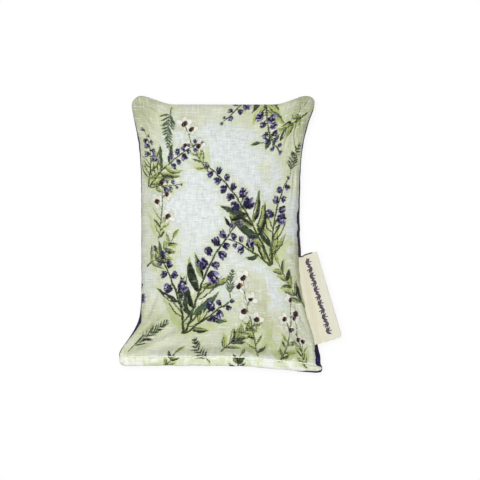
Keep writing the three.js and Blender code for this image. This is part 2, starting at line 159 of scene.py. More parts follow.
def plan(s, v):
    """The outline's plan at s, -1 at the left seam to 1 at the right, and v, 0 at the stitch row to 1
    at the top seam, with the two top corners rounded."""
    y = lerp(stitch_row_y(s), top_edge_y(s), v)
    left, right = (edge_x(side, lerp(stitch_row_y(side), top_edge_y(side), v)) for side in (-1, 1))
    x = lerp(left, right, (s + 1) / 2)
    a = TOP_CORNER - (1 - np.abs(s)) * (right - left) / 2
    b = TOP_CORNER - (1 - v) * CROWN_LENGTH
    cut, shrink = corner(a, b)
    return x - np.sign(s) * np.where(cut, a - a * shrink, 0), y - np.where(cut, b - b * shrink, 0)


def swelling(side, s, v):
    """Height of the broad swells of one side at s and v."""
    total = 0.0
    for at_s, at_v, across, along, rise in SWELLS[side]:
        offside, onward = (s - at_s) * HALF_WAIST, (v - at_v) * CROWN_LENGTH
        total = total + rise * fade(offside, across, 2) * fade(onward, along, 2)
    return total


def flat_point(u, q):
    """The place of a cloth point with the top corners of the cut rounded."""
    x = u * CLOTH_HALF
    a = np.abs(x) - (CLOTH_HALF - CLOTH_CORNER)
    b = q - (CLOTH_LENGTH - CLOTH_CORNER)
    cut, shrink = corner(a, b)
    p = np.where(cut, np.sign(x) * (np.abs(x) - a + a * shrink), x)
    return p, np.where(cut, q - b + b * shrink, q)


def value_noise(x, y, cell, seed):
    """Smooth seeded noise from -1 to 1 over a plane, with lumps about one cell wide."""
    size = 64
    shift = 200.0
    table = np.random.default_rng(seed).uniform(-1, 1, (size, size))
    u = np.asarray(x) / cell + shift
    v = np.asarray(y) / cell + shift
    i = np.floor(u).astype(int)
    j = np.floor(v).astype(int)
    f = u - i
    g = v - j
    f = f * f * (3 - 2 * f)
    g = g * g * (3 - 2 * g)
    i, j, right, above = i % size, j % size, (i + 1) % size, (j + 1) % size
    return lerp(lerp(table[i, j], table[right, j], f), lerp(table[i, above], table[right, above], f), g)


# Meshes

def make_piece(name, points, faces, flat=None, values=None):
    """A smooth-shaded mesh object from points in millimetres and faces of four corners. flat gives each
    point's place on the flat cloth, kept as a UV map, and values more numbers for each point."""
    points = np.asarray(points, float).reshape(-1, 3)
    faces = np.asarray(faces, int).reshape(-1, 4)
    mesh = bpy.data.meshes.new(name)
    mesh.vertices.add(len(points))
    mesh.vertices.foreach_set("co", (points * MM).ravel())
    mesh.loops.add(len(faces) * 4)
    mesh.loops.foreach_set("vertex_index", faces.ravel())
    mesh.polygons.add(len(faces))
    mesh.polygons.foreach_set("loop_start", np.arange(0, len(faces) * 4, 4))
    mesh.polygons.foreach_set("use_smooth", np.ones(len(faces), bool))
    if flat is not None:
        layer = mesh.uv_layers.new(name="OFBake")
        layer.data.foreach_set("uv", np.asarray(flat, float).reshape(-1, 2)[faces.ravel()].ravel())
    for key, numbers in (values or {}).items():
        attribute = mesh.attributes.new(key, "FLOAT", "POINT")
        attribute.data.foreach_set("value", np.asarray(numbers, np.float32).ravel())
    mesh.update()
    mesh.validate()
    piece = bpy.data.objects.new(name, mesh)
    bpy.context.scene.collection.objects.link(piece)
    return piece


def grid_faces(rows, columns, first=0, flip=False, closed=False):
    """The faces of a grid of points numbered row by row. closed joins the last column to the first."""
    i, j = np.meshgrid(np.arange(rows - 1), np.arange(columns if closed else columns - 1), indexing="ij")
    k = (j + 1) % columns
    corners = [i * columns + j, (i + 1) * columns + j, (i + 1) * columns + k, i * columns + k]
    if flip:
        corners.reverse()
    return np.stack(corners, -1).reshape(-1, 4) + first


def shell_faces(rows, columns):
    """The faces of two grids of points, one behind the other, and of the band that joins their rims."""
    count = rows * columns
    numbers = np.arange(count).reshape(rows, columns)
    ring = np.concatenate([numbers[:-1, 0], numbers[-1, :-1], numbers[:0:-1, -1], numbers[0, :0:-1]])
    ahead = np.roll(ring, -1)
    band = np.stack([ring, ring + count, ahead + count, ahead], -1)
    behind = grid_faces(rows, columns, first=count, flip=True)
    return np.concatenate([grid_faces(rows, columns), behind, band])


def cubic_weights(count, places):
    """Weights that turn count + 1 even values into smooth values at places, counted from 0 to count."""
    cell = np.clip(np.floor(places).astype(int), 0, count - 1)
    f = places - cell
    weights = {
        -1: -0.5 * f**3 + f**2 - 0.5 * f,
        0: 1.5 * f**3 - 2.5 * f**2 + 1,
        1: -1.5 * f**3 + 2 * f**2 + 0.5 * f,
        2: 0.5 * f**3 - 0.5 * f**2,
    }
    matrix = np.zeros((len(places), count + 1))
    rows = np.arange(len(places))
    for offset, weight in weights.items():
        index = cell + offset
        low, high = index < 0, index > count
        np.add.at(matrix, (rows, np.clip(index, 0, count)), np.where(low | high, 2 * weight, weight))
        np.add.at(matrix, (rows[low], np.full(low.sum(), 1)), -weight[low])
        np.add.at(matrix, (rows[high], np.full(high.sum(), count - 1)), -weight[high])
    return matrix


# The stuffed form: two cloth faces joined along three seams and a flat hem, blown up to the volume of
# the buds

SIM_CELL = 2.2
SIM_CROWN = 21.0
SIM_FRAMES = 40
SIM_SCALE = 0.01
SIM_VOLUME = 0.272
SIM_ACROSS = int(CLOTH_WIDTH / SIM_CELL)
SIM_ALONG = int(BAG_LENGTH / SIM_CELL)
SIM_HEM_ROWS = 3
SIM_CLOTH = {
    "quality": 6, "mass": 0.3, "tension_stiffness": 40, "compression_stiffness": 40, "shear_stiffness": 10,
    "bending_stiffness": 0.12, "tension_damping": 5, "compression_damping": 5, "shear_damping": 5,
    "bending_damping": 0.5, "use_pressure": True, "uniform_pressure_force": 0, "use_pressure_volume": True,
    "target_volume": SIM_VOLUME, "pressure_factor": 20,
}


def crown(u, v):
    """Height of the crown as a share of its top, before any wrinkle."""
    across = np.clip(1 - np.abs(u) ** 2, 0, 1) ** 0.56
    return across * np.clip(1 - np.abs(2 * v - 1) ** 2.3, 0, 1) ** 0.78


def stuffed_form():
    """Places of the points of both faces, each (across, along, 3), from a cloth simulation."""
    u, v = np.meshgrid(np.linspace(-1, 1, SIM_ACROSS + 1), np.linspace(0, 1, SIM_ALONG + 1), indexing="ij")
    q = HEM_DEPTH + v * BAG_LENGTH
    flat_x, flat_y = flat_point(u, q)
    x, y = plan(u, v)
    bumps = 0.25 * value_noise(flat_x, flat_y, 17, 3)
    height = SIM_CROWN * crown(u, v)
    lift = {s: s * (height + (swelling(s, u, v) + bumps[::s]) * smooth(height / 8)) for s in (1, -1)}

    start, rest, faces = [], [], []
    number = {1: np.zeros(u.shape, int), -1: np.zeros(u.shape, int)}
    edge = np.zeros(u.shape, bool)
    edge[0], edge[-1], edge[:, 0], edge[:, -1] = True, True, True, True
    for side in (1, -1):
        for i, j in np.ndindex(u.shape):
            if side < 0 and edge[i, j]:
                number[side][i, j] = number[1][i, j]
                continue
            number[side][i, j] = len(start)
            start.append((x[i, j], y[i, j], 0 if edge[i, j] else lift[side][i, j]))
            rest.append((flat_x[i, j], flat_y[i, j], 0))
    bag_points = len(start)
    hem = np.zeros((SIM_ACROSS + 1, SIM_HEM_ROWS + 1), int)
    hem[:, 0] = number[1][:, 0]
    for i in range(SIM_ACROSS + 1):
        for k in range(1, SIM_HEM_ROWS + 1):
            drop = HEM_DEPTH * k / SIM_HEM_ROWS
            hem[i, k] = len(start)
            start.append((x[i, 0], y[i, 0] - drop, 0))
            rest.append((flat_x[i, 0], HEM_DEPTH - drop, 0))
    for table, flip in ((number[1], False), (number[-1], True), (hem, True)):
        corners = [table[:-1, :-1], table[1:, :-1], table[1:, 1:], table[:-1, 1:]]
        if flip:
            corners.reverse()
        faces.extend(np.stack(corners, -1).reshape(-1, 4).tolist())

    mesh = bpy.data.meshes.new("stuffing_form")
    mesh.from_pydata((np.array(start) * SIM_SCALE).tolist(), [], faces)
    body = bpy.data.objects.new("stuffing_form", mesh)
    bpy.context.scene.collection.objects.link(body)
    body.shape_key_add(name="start")
    cut = body.shape_key_add(name="cut")
    cut.data.foreach_set("co", (np.array(rest) * SIM_SCALE).ravel())
    cut.value = 0
    blown = body.vertex_groups.new(name="blown")
    blown.add(list(range(bag_points)), 1.0, "REPLACE")
    cloth = body.modifiers.new("cloth", "CLOTH")
    settings = cloth.settings
    for key, value in SIM_CLOTH.items():
        setattr(settings, key, value)
    settings.effector_weights.gravity = 0
    settings.rest_shape_key = cut
    settings.vertex_group_pressure = "blown"
    cloth.collision_settings.use_collision = False
    cloth.collision_settings.use_self_collision = False
    cloth.point_cache.frame_start = 1
    cloth.point_cache.frame_end = SIM_FRAMES
    scene = bpy.context.scene
    for step in range(1, SIM_FRAMES + 1):
        scene.frame_set(step)
    result = body.evaluated_get(bpy.context.evaluated_depsgraph_get()).to_mesh()
    points = np.empty(len(result.vertices) * 3)
    result.vertices.foreach_get("co", points)
    points = points.reshape(-1, 3) / SIM_SCALE
    scene.frame_set(1)
    bpy.data.objects.remove(body)
    bpy.data.meshes.remove(mesh)
    return {side: points[number[side]] for side in (1, -1)}


def fitted(points):
    """Moves a face of the stuffed form so that its border lies on the sachet's outline in the seam
    plane, and spreads that move smoothly over the face."""
    u, v = np.meshgrid(np.linspace(0, 1, points.shape[0]), np.linspace(0, 1, points.shape[1]), indexing="ij")
    x, y = plan(2 * u - 1, v)
    move = np.stack([x, y, np.zeros_like(x)], -1) - points
    u, v = u[..., None], v[..., None]
    sides = lerp(move[:1], move[-1:], u) + lerp(move[:, :1], move[:, -1:], v)
    low = lerp(move[:1, :1], move[-1:, :1], u)
    high = lerp(move[:1, -1:], move[-1:, -1:], u)
    return points + sides - lerp(low, high, v)


form = {side: fitted(points) for side, points in stuffed_form().items()}

# How far the seam has rolled on to the front, so that the back cloth shows beyond it. Each pair is a
# place along Y and the roll there.
RIGHT_ROLL = (
    (-71.0, 0.3), (-69.6, 3.3), (-66, 3.9), (-62, 3.3), (-58, 1.6), (-54, 1.8), (-30, 1.8), (-6, 2.0),
    (10, 1.7), (16, 0.9), (26, 0.6), (64, 0.55), (69, 0.1), (72, 0.0),
)
LEFT_ROLL = (
    (-58, 0.15), (-52, 0.8), (-47, 1.7), (-42, 0.8), (-36, 0.4), (20, 0.4), (40, 0.6), (49, 1.1), (55, 0.5),
    (61, 0.4), (66, 0.05), (70, 0.0),
)
LABEL_TOP_Y = stitch_row_y(1) + LABEL_HEM_SETBACK + LABEL_WIDTH


def seam_roll(x, y):
    roll = np.where(x > 0, np.interp(y, *np.transpose(RIGHT_ROLL)), np.interp(y, *np.transpose(LEFT_ROLL)))
    return roll * (1 + 0.22 * value_noise(y, np.where(x > 0, 3.0, 9.0), 3.6, 91))


def seam_rise(roll):
    """How far the rolled seam stands over the seam plane."""
    return 0.8 * roll / (1 + 0.25 * roll)


def label_opening(x, y):
    """How far the seam is pushed open on each side by the label between its two folds."""
    inside = smooth((y - (LABEL_TOP_Y - LABEL_WIDTH - 2)) / 3) * smooth((LABEL_TOP_Y + 2 - y) / 3)
    return np.where(x > 0, 0.45 * inside, 0)


def near_line(p, q, line):
    """How far each flat place lies from a line of points, with a minus sign on its right side, and the
    share of the line's length there."""
    line = np.array(line, float)
    runs = np.diff(line, axis=0)
    lengths = np.linalg.norm(runs, axis=1)
    off = np.full(p.shape, 1e6)
    t = np.zeros(p.shape)
    for n, (start, run) in enumerate(zip(line[:-1], runs)):
        share = np.clip(((p - start[0]) * run[0] + (q - start[1]) * run[1]) / (run @ run), 0, 1)
        x, y = p - start[0] - share * run[0], q - start[1] - share * run[1]
        reach = np.hypot(x, y)
        nearer = reach < np.abs(off)
        t = np.where(nearer, (lengths[:n].sum() + share * lengths[n]) / lengths.sum(), t)
        off = np.where(nearer, np.where(run[0] * y > run[1] * x, 1, -1) * reach, off)
    return off, t


def crease(off, t, depth, width):
    """A soft valley with a low ridge on each side, from how far places lie from its line and the share
    of the line's length there."""
    off = np.abs(off)
    ends = np.sin(np.pi * np.clip(0.06 + 0.94 * t, 0, 1)) ** 0.7
    ridges = 0.45 * np.exp(-(((off - 1.9 * width) / width) ** 2))
    return depth * ends * (ridges - np.exp(-((off / width) ** 2)))


# Creases of the front: points along each on the flat cloth, depth and width
FRONT_CREASES = (
    ((44, 148), (42, 122), 0.9, 1.0),
    ((40, 147), (35, 128), 0.5, 2.0),
    ((50.5, 112), (49.5, 92), 0.5, 0.9),
    ((-50.5, 148.5), (-38, 146), 0.7, 1.0),
    ((-50, 144), (-43, 138), 0.5, 1.4),
    ((-48, 147), (-36, 128), 0.7, 2.2),
    ((-50, 140), (-44, 112), 0.45, 1.8),
    ((-51, 13), (-35, 31), 1.5, 2.4),
    ((-44, 8), (-25, 20), 0.9, 2.2),
    ((-52, 24), (-41, 46), 0.9, 1.8),
    ((50, 12), (34, 30), 1.2, 2.4),
    ((40, 8), (24, 18), 0.7, 2.4),
    ((51, 26), (42, 54), 0.8, 1.8),
    ((-16, 149), (-12, 134), 0.35, 2.4),
    ((14, 149), (18, 132), 0.35, 2.6),
    ((52, 62), (42, 68), 0.3, 1.6),
    ((-52, 84), (-42, 80), 0.3, 1.6),
)
# Sharp folds of the front's right ear, where the cloth on the seam's side leans over the crease: points
# along each, depth, width and lean
EAR_FOLDS = (
    ((44.2, 151), (46.4, 146), (46.6, 141.4), (47.3, 136), (47.6, 130.5), (49.6, 125), (51.8, 119.6),
     (54, 113), 2.0, 0.65, 1.3),
    ((50.2, 150.5), (47.6, 145), (46.6, 141.4), 1.2, 0.6, 0.6),
    ((48.4, 142), (50.1, 136), (52.2, 130), 1.2, 0.55, 0.7),
)
BACK_CREASES = (
    ((-49, 146), (-40, 120), 0.8, 2.2),
    ((48, 146), (36, 124), 0.7, 2.4),
    ((51, 14), (36, 34), 1.0, 2.6),
    ((-50, 12), (-34, 32), 0.8, 2.6),
    ((0, 149), (4, 130), 0.4, 2.6),
    ((20, 8), (16, 24), 0.4, 2.4),
    ((-22, 8), (-18, 26), 0.4, 2.4),
)


class Panel:
    """One cloth face of the sachet as a fine grid, with its hem and its turned-in edges."""

    def __init__(self, side, step):
        self.side = side
        across = int(round(CLOTH_WIDTH / step))
        along = int(round(BAG_LENGTH / step))
        hem = int(round(HEM_DEPTH / step))
        u = np.linspace(-1, 1, across + 1)
        q_in_hem = np.linspace(0, HEM_DEPTH, hem + 1)[:-1]
        q = np.concatenate([q_in_hem, np.linspace(HEM_DEPTH, CLOTH_LENGTH, along + 1)])
        self.hem = hem
        self.u, self.q = np.meshgrid(u, q, indexing="ij")
        self.p, self.w = flat_point(self.u, self.q)
        self.from_side = (1 - np.abs(self.u)) * CLOTH_HALF
        self.from_top = CLOTH_LENGTH - self.q
        self.points = self.shaped(u, q)
        self.roll_seam()
        self.displace()
        self.flatten()

    def shaped(self, u, q):
        weights_u = cubic_weights(SIM_ACROSS, (u + 1) / 2 * SIM_ACROSS)
        weights_v = cubic_weights(SIM_ALONG, np.clip((q - HEM_DEPTH) / BAG_LENGTH, 0, 1) * SIM_ALONG)
        source = form[self.side]
        points = np.stack([weights_u @ source[..., k] @ weights_v.T for k in range(3)], -1)
        top = np.abs(source[..., 2]).max()
        rise = FRONT_RISE if self.side > 0 else BACK_DROP
        height = points[..., 2] * self.side * rise / top
        # The seam edges are thin and the hem is a flat stack of plies.
        rim = 0.5 * smooth(self.from_side / 1.2) * smooth(self.from_top / 1.2)
        inner = 0.6 * (1 - np.exp(-self.from_side / 2.5)) * (1 - np.exp(-self.from_top / 2.5))
        body = SEAM_ROLL + rim + inner
        # The topstitching holds the cloth down, so the crown starts with a hollow.
        above_row = smooth((self.q - HEM_DEPTH) / 7)
        height *= lerp(0.25, 1, above_row)
        stack = SEAM_ROLL + (HEM_STACK - SEAM_ROLL) * (1 - np.exp(-self.from_side / 1.2))
        base = lerp(stack, body, above_row)
        puff = HEM_PUFF * np.sin(np.pi * np.clip(self.q / HEM_DEPTH, 0, 1))
        puff = puff * (1 - np.exp(-self.from_side / 1.5))
        in_hem = self.q < HEM_DEPTH
        fold = np.clip(1 - self.q / 0.9, 0, 1)
        drop = np.sqrt(np.clip(1 - fold**2, 0, 1))
        hem_height = HEM_FOLD + (base - HEM_FOLD + puff) * drop
        # Rounded ends of the hem
        s = self.u
        x, y = points[..., 0], points[..., 1]
        down = self.q / HEM_DEPTH
        hem_y = lerp(hem_fold_y(s), stitch_row_y(s), down)
        a = HEM_CORNER - (1 - np.abs(s)) * HALF_WAIST
        b = HEM_CORNER - self.q
        cut, shrink = corner(a, b, in_hem)
        x = x - np.sign(s) * np.where(cut, a - a * shrink, 0)
        y = np.where(in_hem, hem_y, y) + np.where(cut, b - b * shrink, 0)
        height = np.where(in_hem, hem_height, base + height)
        return np.stack([x, y, SEAM_Z + self.side * height], -1)

    def seam_share(self, from_side):
        """How far the cloth takes part in the seam's roll, 1 at the side and 0 well inside."""
        if self.side > 0:
            return np.exp(-((from_side / 9) ** 1.5))
        return 1 - smooth(from_side / 6)

    def roll_seam(self):
        """Moves the seam towards the front. There the back cloth bellies out past it to the outline."""
        x, y = self.points[..., 0].copy(), self.points[..., 1]
        toward = np.where(self.p < 0, -1, 1)
        edge = np.where(self.p < 0, x[:1], x[-1:])
        roll = seam_roll(edge, y)
        share = self.seam_share(self.from_side)
        if self.side > 0:
            self.points[..., 0] -= toward * roll * share
        else:
            out = roll * (1 - np.sin(np.clip(self.from_side / np.maximum(1.1 * roll, 0.5), 0, 1) * np.pi / 2))
            belly = (1 - smooth(self.from_side / 11)) * smooth(self.from_top / 8) * smooth(self.q / 3.5)
            self.points[..., 0] = lerp(x, edge - toward * out, belly)
        opening = label_opening(x, y) * np.exp(-self.from_side / 2.5)
        self.points[..., 2] += seam_rise(roll) * share + self.side * opening

    def normals(self):
        along_u = np.gradient(self.points, axis=0)
        along_v = np.gradient(self.points, axis=1)
        normal = np.cross(along_u, along_v) * self.side
        return normal / np.maximum(np.linalg.norm(normal, axis=-1, keepdims=True), 1e-9)

    def displace(self):
        p, q = self.p, self.q
        seed = 40 if self.side > 0 else 60
        inner = smooth(self.from_side / 3) * smooth(self.from_top / 3)
        height = np.zeros_like(p)
        clear = smooth(self.from_side / 1.5)
        for *line, depth, width in FRONT_CREASES if self.side > 0 else BACK_CREASES:
            height += crease(*near_line(p, q, line), depth, width) * clear
        # Buds press against the cloth from inside.
        buds = value_noise(p, q, 4.2, seed) * 0.6 + value_noise(p, q, 2.4, seed + 1) * 0.4
        height += 0.13 * buds * inner * smooth((q - 12) / 14)
        height += 0.3 * value_noise(p, q * 0.6, 13, seed + 2) * inner * smooth((q - HEM_DEPTH) / 8)
        # The topstitching and the seams gather the cloth in short puckers.
        near_row = np.exp(-np.clip(q - HEM_DEPTH, 0, None) / 8) * smooth((q - HEM_DEPTH) / 1.2)
        height += 0.4 * value_noise(p + 0.3 * q, q * 0.18, 3.4, seed + 3) * near_row
        for x, y, off, number in ((p * 0.25, q, self.from_side, 4), (p, q * 0.25, self.from_top, 5)):
            height += 0.16 * value_noise(x, y, 2.9, seed + number) * np.exp(-off / 4) * smooth(off)
        in_hem = 1 - smooth(q - HEM_DEPTH)
        height += (0.16 * value_noise(p + 0.5 * q, q * 0.3, 2.8, seed + 6) * smooth(q / 0.8)) * in_hem
        row = np.exp(-(((q - HEM_DEPTH) / 0.6) ** 2))
        holes = np.exp(-((((p / STITCH) % 1 - 0.5) * STITCH / 0.5) ** 2))
        height -= (0.1 + 0.28 * holes) * row * clear
        lean = np.zeros_like(p)
        for *line, depth, width, over in EAR_FOLDS if self.side > 0 else ():
            off, t = near_line(p, q, line)
            height += crease(off, t, depth, width) * clear
            ridge = np.sin(np.pi * t) ** 0.7 * np.exp(-(((off - 1.6 * width) / width) ** 2))
            height += 0.3 * over * ridge * clear
            lean += over * ridge * clear
        # No crease reaches down to the seam plane.
        height = np.maximum(height, -0.6 * np.abs(self.points[..., 2] - SEAM_Z))
        self.points += self.normals() * height[..., None]
        self.points[..., 0] -= lean
        # The fold of the hem isn't quite straight.
        fold = 0.22 * value_noise(p, 0 * p, 7, 71) + 0.1 * value_noise(p, 0 * p, 2.6, 72)
        if self.side > 0:
            # At the label's end the front's hem is folded a little shorter than the back's.
            fold += 1.0 * smooth((self.u - 0.68) / 0.26)
        self.points[..., 1] += fold * (1 - smooth(q / (HEM_DEPTH + 2)))
        scallop = 0.05 * (1 + np.cos(TURN * q / STITCH)) * np.exp(-self.from_side / 1.0) * (q > HEM_DEPTH)
        self.points[..., 0] -= np.sign(self.p) * scallop
        scallop = 0.05 * (1 + np.cos(TURN * p / STITCH)) * np.exp(-self.from_top / 1.0)
        self.points[..., 1] -= scallop

    def flatten(self):
        """The back is pressed flat where the sachet rests."""
        z = self.points[..., 2]
        if self.side < 0:
            self.points[..., 2] = (z + np.sqrt(z**2 + 0.25**2)) / 2

    def border(self):
        """Grid places round the border: up the left side, along the top, down the right side and back."""
        last_i, last_j = self.p.shape[0] - 1, self.p.shape[1] - 1
        return np.array(
            [(0, j) for j in range(last_j)]
            + [(i, last_j) for i in range(last_i)]
            + [(last_i, j) for j in range(last_j, 0, -1)]
            + [(i, 0) for i in range(last_i, 0, -1)]
        )

    def turned_in(self):
        """Rings of points from the border round the folded edge and on into the sachet, with their
        places on the flat cloth."""
        at = tuple(self.border().T)
        edge = self.points[at]
        flat = np.stack([self.p[at], self.w[at]], -1)

        # Directions into the sachet from its sides, top and hem, blended round the corners. They hold on
        # the flat cloth too.
        from_side, from_top, from_fold = self.from_side[at], self.from_top[at], self.q[at]
        across = -np.where(self.p[at] < 0, -1, 1) * np.exp(-from_side / 1.5)
        along = np.exp(-from_fold / 1.5) - np.exp(-from_top / 1.5)
        plan_in = np.stack([across, along], -1)
        plan_in /= np.linalg.norm(plan_in, axis=1, keepdims=True)
        hem = self.q[at] < 0.01
        rise = seam_rise(seam_roll(edge[:, 0], edge[:, 1]))
        opened = self.side * label_opening(edge[:, 0], edge[:, 1])
        share = np.where(from_side > 0, self.seam_share(from_side), 1)
        plane = SEAM_Z + rise * share + np.where(hem, 0, opened)
        corner = from_side + np.minimum(from_top, from_fold)
        depth = lerp(1.6, np.where(hem, 8.5, 6.0), smooth(corner / 9))
        radius = np.abs(edge[:, 2] - plane) - PLY_HALF_GAP
        rings, flats = [], []
        for angle in np.radians([18, 40, 65, 90]):
            ring = np.empty_like(edge)
            ring[:, :2] = edge[:, :2] + plan_in * (radius * (1 - np.cos(angle)))[:, None]
            ring[:, 2] = plane + self.side * (PLY_HALF_GAP + radius * (1 - np.sin(angle)))
            rings.append(ring)
            flats.append(flat - plan_in * (radius * angle)[:, None])
        for share in (0.25, 0.6, 1.0):
            ring = rings[3].copy()
            ring[:, :2] += plan_in * (depth * share)[:, None]
            ring[:, 2] = plane + self.side * (PLY_HALF_GAP + 0.05 * share)
            rings.append(ring)
            flats.append(flats[3] - plan_in * (depth * share)[:, None])
        return rings, flats

    def mesh_parts(self):
        """All points, faces and flat places of the panel."""
        count = self.p.size
        rings, flats = self.turned_in()
        numbers = np.arange(count).reshape(self.p.shape)
        faces = grid_faces(*self.p.shape, flip=self.side < 0)
        chain = [numbers[tuple(self.border().T)]]
        for ring in rings:
            chain.append(np.arange(count, count + len(ring)))
            count += len(ring)
        around = np.stack(chain)
        below, above = around[:-1], around[1:]
        corners = [below, above, np.roll(above, -1, 1), np.roll(below, -1, 1)]
        if self.side > 0:
            corners.reverse()
        faces = np.concatenate([faces, np.stack(corners, -1).reshape(-1, 4)])
        points = np.concatenate([self.points.reshape(-1, 3)] + rings)
        flat = np.concatenate([np.stack([self.p, self.w], -1).reshape(-1, 2)] + flats)
        return points, faces, flat

    def height_at(self, p, q):
        """The place of the outer face at a flat place, by straight interpolation."""
        i = np.interp(p / CLOTH_HALF, self.u[:, 0], np.arange(self.u.shape[0]))
        j = np.interp(q, self.q[0], np.arange(self.q.shape[1]))
        i0 = np.clip(np.floor(i).astype(int), 0, self.u.shape[0] - 2)
        j0 = np.clip(np.floor(j).astype(int), 0, self.q.shape[1] - 2)
        f, g = (i - i0)[:, None], (j - j0)[:, None]
        grid = self.points
        low = lerp(grid[i0, j0], grid[i0 + 1, j0], f)
        high = lerp(grid[i0, j0 + 1], grid[i0 + 1, j0 + 1], f)
        return lerp(low, high, g)


# The print: painted strokes on the flat cloth

FAR = -9.0
LAYERS = ("ghost", "petal", "green", "stem", "dark", "violet", "ink", "light", "middle")


class Print:
    """Layers of painted strokes over points of the flat cloth. Each layer keeps how far a point lies
    inside the nearest stroke, and that stroke's tone. wobble makes every outline a hand-drawn one."""

    def __init__(self, x, y, layers=LAYERS, wobble=0.0):
        x = np.asarray(x, float).ravel()
        y = np.asarray(y, float).ravel()
        self.x = x + wobble * (value_noise(x, y, 3.4, 81) + 0.5 * value_noise(x, y, 1.5, 82))
        self.y = y + wobble * (value_noise(x, y, 3.4, 83) + 0.5 * value_noise(x, y, 1.5, 84))
        self.inside = {name: np.full(self.x.shape, FAR) for name in layers}
        self.tone = {name: np.zeros(self.x.shape) for name in layers}
        self.order = np.argsort(self.y)
        self.sorted_y = self.y[self.order]

    def near(self, low, high):
        start, stop = np.searchsorted(self.sorted_y, [low[1], high[1]])
        rows = self.order[start:stop]
        across = self.x[rows]
        return rows[(across > low[0]) & (across < high[0])]

    def stroke(self, layer, points, widths, tone=0.5, shade=0.0):
        """Paints a stroke along points with a half width at each. shade darkens its left side."""
        points = np.asarray(points, float)
        widths = np.asarray(widths, float)
        margin = widths.max() + 3.2
        rows = self.near(points.min(0) - margin, points.max(0) + margin)
        if len(rows) == 0:
            return
        px, py = self.x[rows], self.y[rows]
        best = np.full(px.shape, FAR)
        side = np.zeros(px.shape)
        for (ax, ay), (bx, by), wa, wb in zip(points[:-1], points[1:], widths[:-1], widths[1:]):
            dx, dy = bx - ax, by - ay
            run = max(math.hypot(dx, dy), 1e-6)
            t = np.clip(((px - ax) * dx + (py - ay) * dy) / run**2, 0, 1)
            ex, ey = px - ax - dx * t, py - ay - dy * t
            width = wa + (wb - wa) * t
            value = width - np.hypot(ex, ey)
            lateral = (dx * ey - dy * ex) / run / np.maximum(width, 0.2)
            better = value > best
            best = np.where(better, value, best)
            side = np.where(better, lateral, side)
        kept = self.inside[layer][rows]
        won = best > kept
        self.inside[layer][rows] = np.where(won, best, kept)
        tones = tone + shade * np.clip(side, -1, 1)
        self.tone[layer][rows] = np.where(won & (best > -1.2), tones, self.tone[layer][rows])


def bezier(a, b, c, steps):
    t = np.linspace(0, 1, steps)[:, None]
    a, b, c = (np.asarray(p, float) for p in (a, b, c))
    return (1 - t) ** 2 * a + 2 * t * (1 - t) * b + t**2 * c


def direction(degrees):
    return np.array([math.cos(math.radians(degrees)), math.sin(math.radians(degrees))])


def left_of(along):
    return np.array([-along[1], along[0]])


def arched(base, heading, length, curve, steps):
    """A line that sets off along a heading, with its middle pushed to the left by a share of its length."""
    base = np.asarray(base, float)
    along = direction(heading)
    middle = base + along * length * 0.5 + left_of(along) * curve * length
    return bezier(base, middle, base + along * length, steps)


def leaf_line(base, heading, length, width, bend):
    """The middle line of a pointed leaf, its half widths, and the direction of its left side."""
    line = arched(base, heading, length, bend, 13)
    t = np.linspace(0, 1, 13)
    profile = np.sin(np.pi * t**0.85) ** 0.85 * (1 - 0.25 * t)
    return line, np.maximum(profile * width / 2, 0.05), left_of(direction(heading))


def leaf(art, kind, base, heading, length, width, rng, bend=0.0):
    """A leaf painted in a few strokes: a thin wash, a darker stroke along one side and a rib."""
    line, widths, left = leaf_line(base, heading, length, width, bend)
    if kind == "ghost":
        art.stroke("ghost", line, widths, rng.uniform(0, 1), rng.uniform(-0.4, 0.4))
        return
    if kind == "pale":
        art.stroke("ghost", line, widths, rng.uniform(0, 0.5), 0.3)
        for offset, share in ((0.9, 0.22), (-0.9, 0.16)):
            shifted = line + left * (widths * offset)[:, None]
            last = int(rng.integers(9, 14))
            art.stroke("dark", shifted[:last], widths[:last] * share + 0.12, rng.uniform(0.5, 1.0))
        return
    deep = kind == "dark"
    side = 1 if rng.random() < 0.5 else -1
    art.stroke("green", line, widths, rng.uniform(0.3, 1.0) if deep else rng.uniform(0.0, 0.45), side * 0.35)
    streaks = [(0.6, 0.45, rng.uniform(0.6, 1.1)) if deep else (0.75, 0.3, rng.uniform(0.1, 1.0))]
    if deep and rng.random() < 0.5:
        streaks += [(0.0, 0.8, rng.uniform(0.0, 1.1)), (-0.7, 0.3, rng.uniform(0.3, 0.9))]
    elif rng.random() < 0.5:
        streaks.append((-0.85, 0.16, rng.uniform(0.7, 1.0)))
    for offset, share, tone in streaks:
        first, last = int(rng.integers(0, 3)), int(rng.integers(10, 14))
        shifted = line + left * (widths * side * offset)[:, None]
        art.stroke("dark", shifted[first:last], (widths * share)[first:last], tone, 0.1)
    art.stroke("stem", line[:9], np.linspace(0.3, 0.1, 9), rng.uniform(0.4, 1.0))
    if width > 3 and rng.random() < 0.4:
        shifted = line - left * (widths * side * 0.45)[:, None]
        art.stroke("light", shifted[4:8], np.full(4, 0.22), 1.0)


def stem(art, line, width, tone=0.55):
    art.stroke("stem", line, np.linspace(width / 2, width * 0.3, len(line)), tone, 0.1)


def along_line(line, t):
    """The point and heading at a share t of a line's points."""
    place = t * (len(line) - 1)
    n = min(int(place), len(line) - 2)
    step = line[n + 1] - line[n]
    return line[n] + step * (place - n), math.degrees(math.atan2(step[1], step[0]))


def stations(line, first, span, count, at_end=False):
    """Even places along a line: number, share of the line, place, heading, and side, which takes turns.
    With at_end the last one lies at the end of the span."""
    parts = max(count - 1, 1) if at_end else count
    for n in range(count):
        t = first + span * n / parts
        place, ahead = along_line(line, t)
        yield n, t, place, ahead, 1 if n % 2 else -1


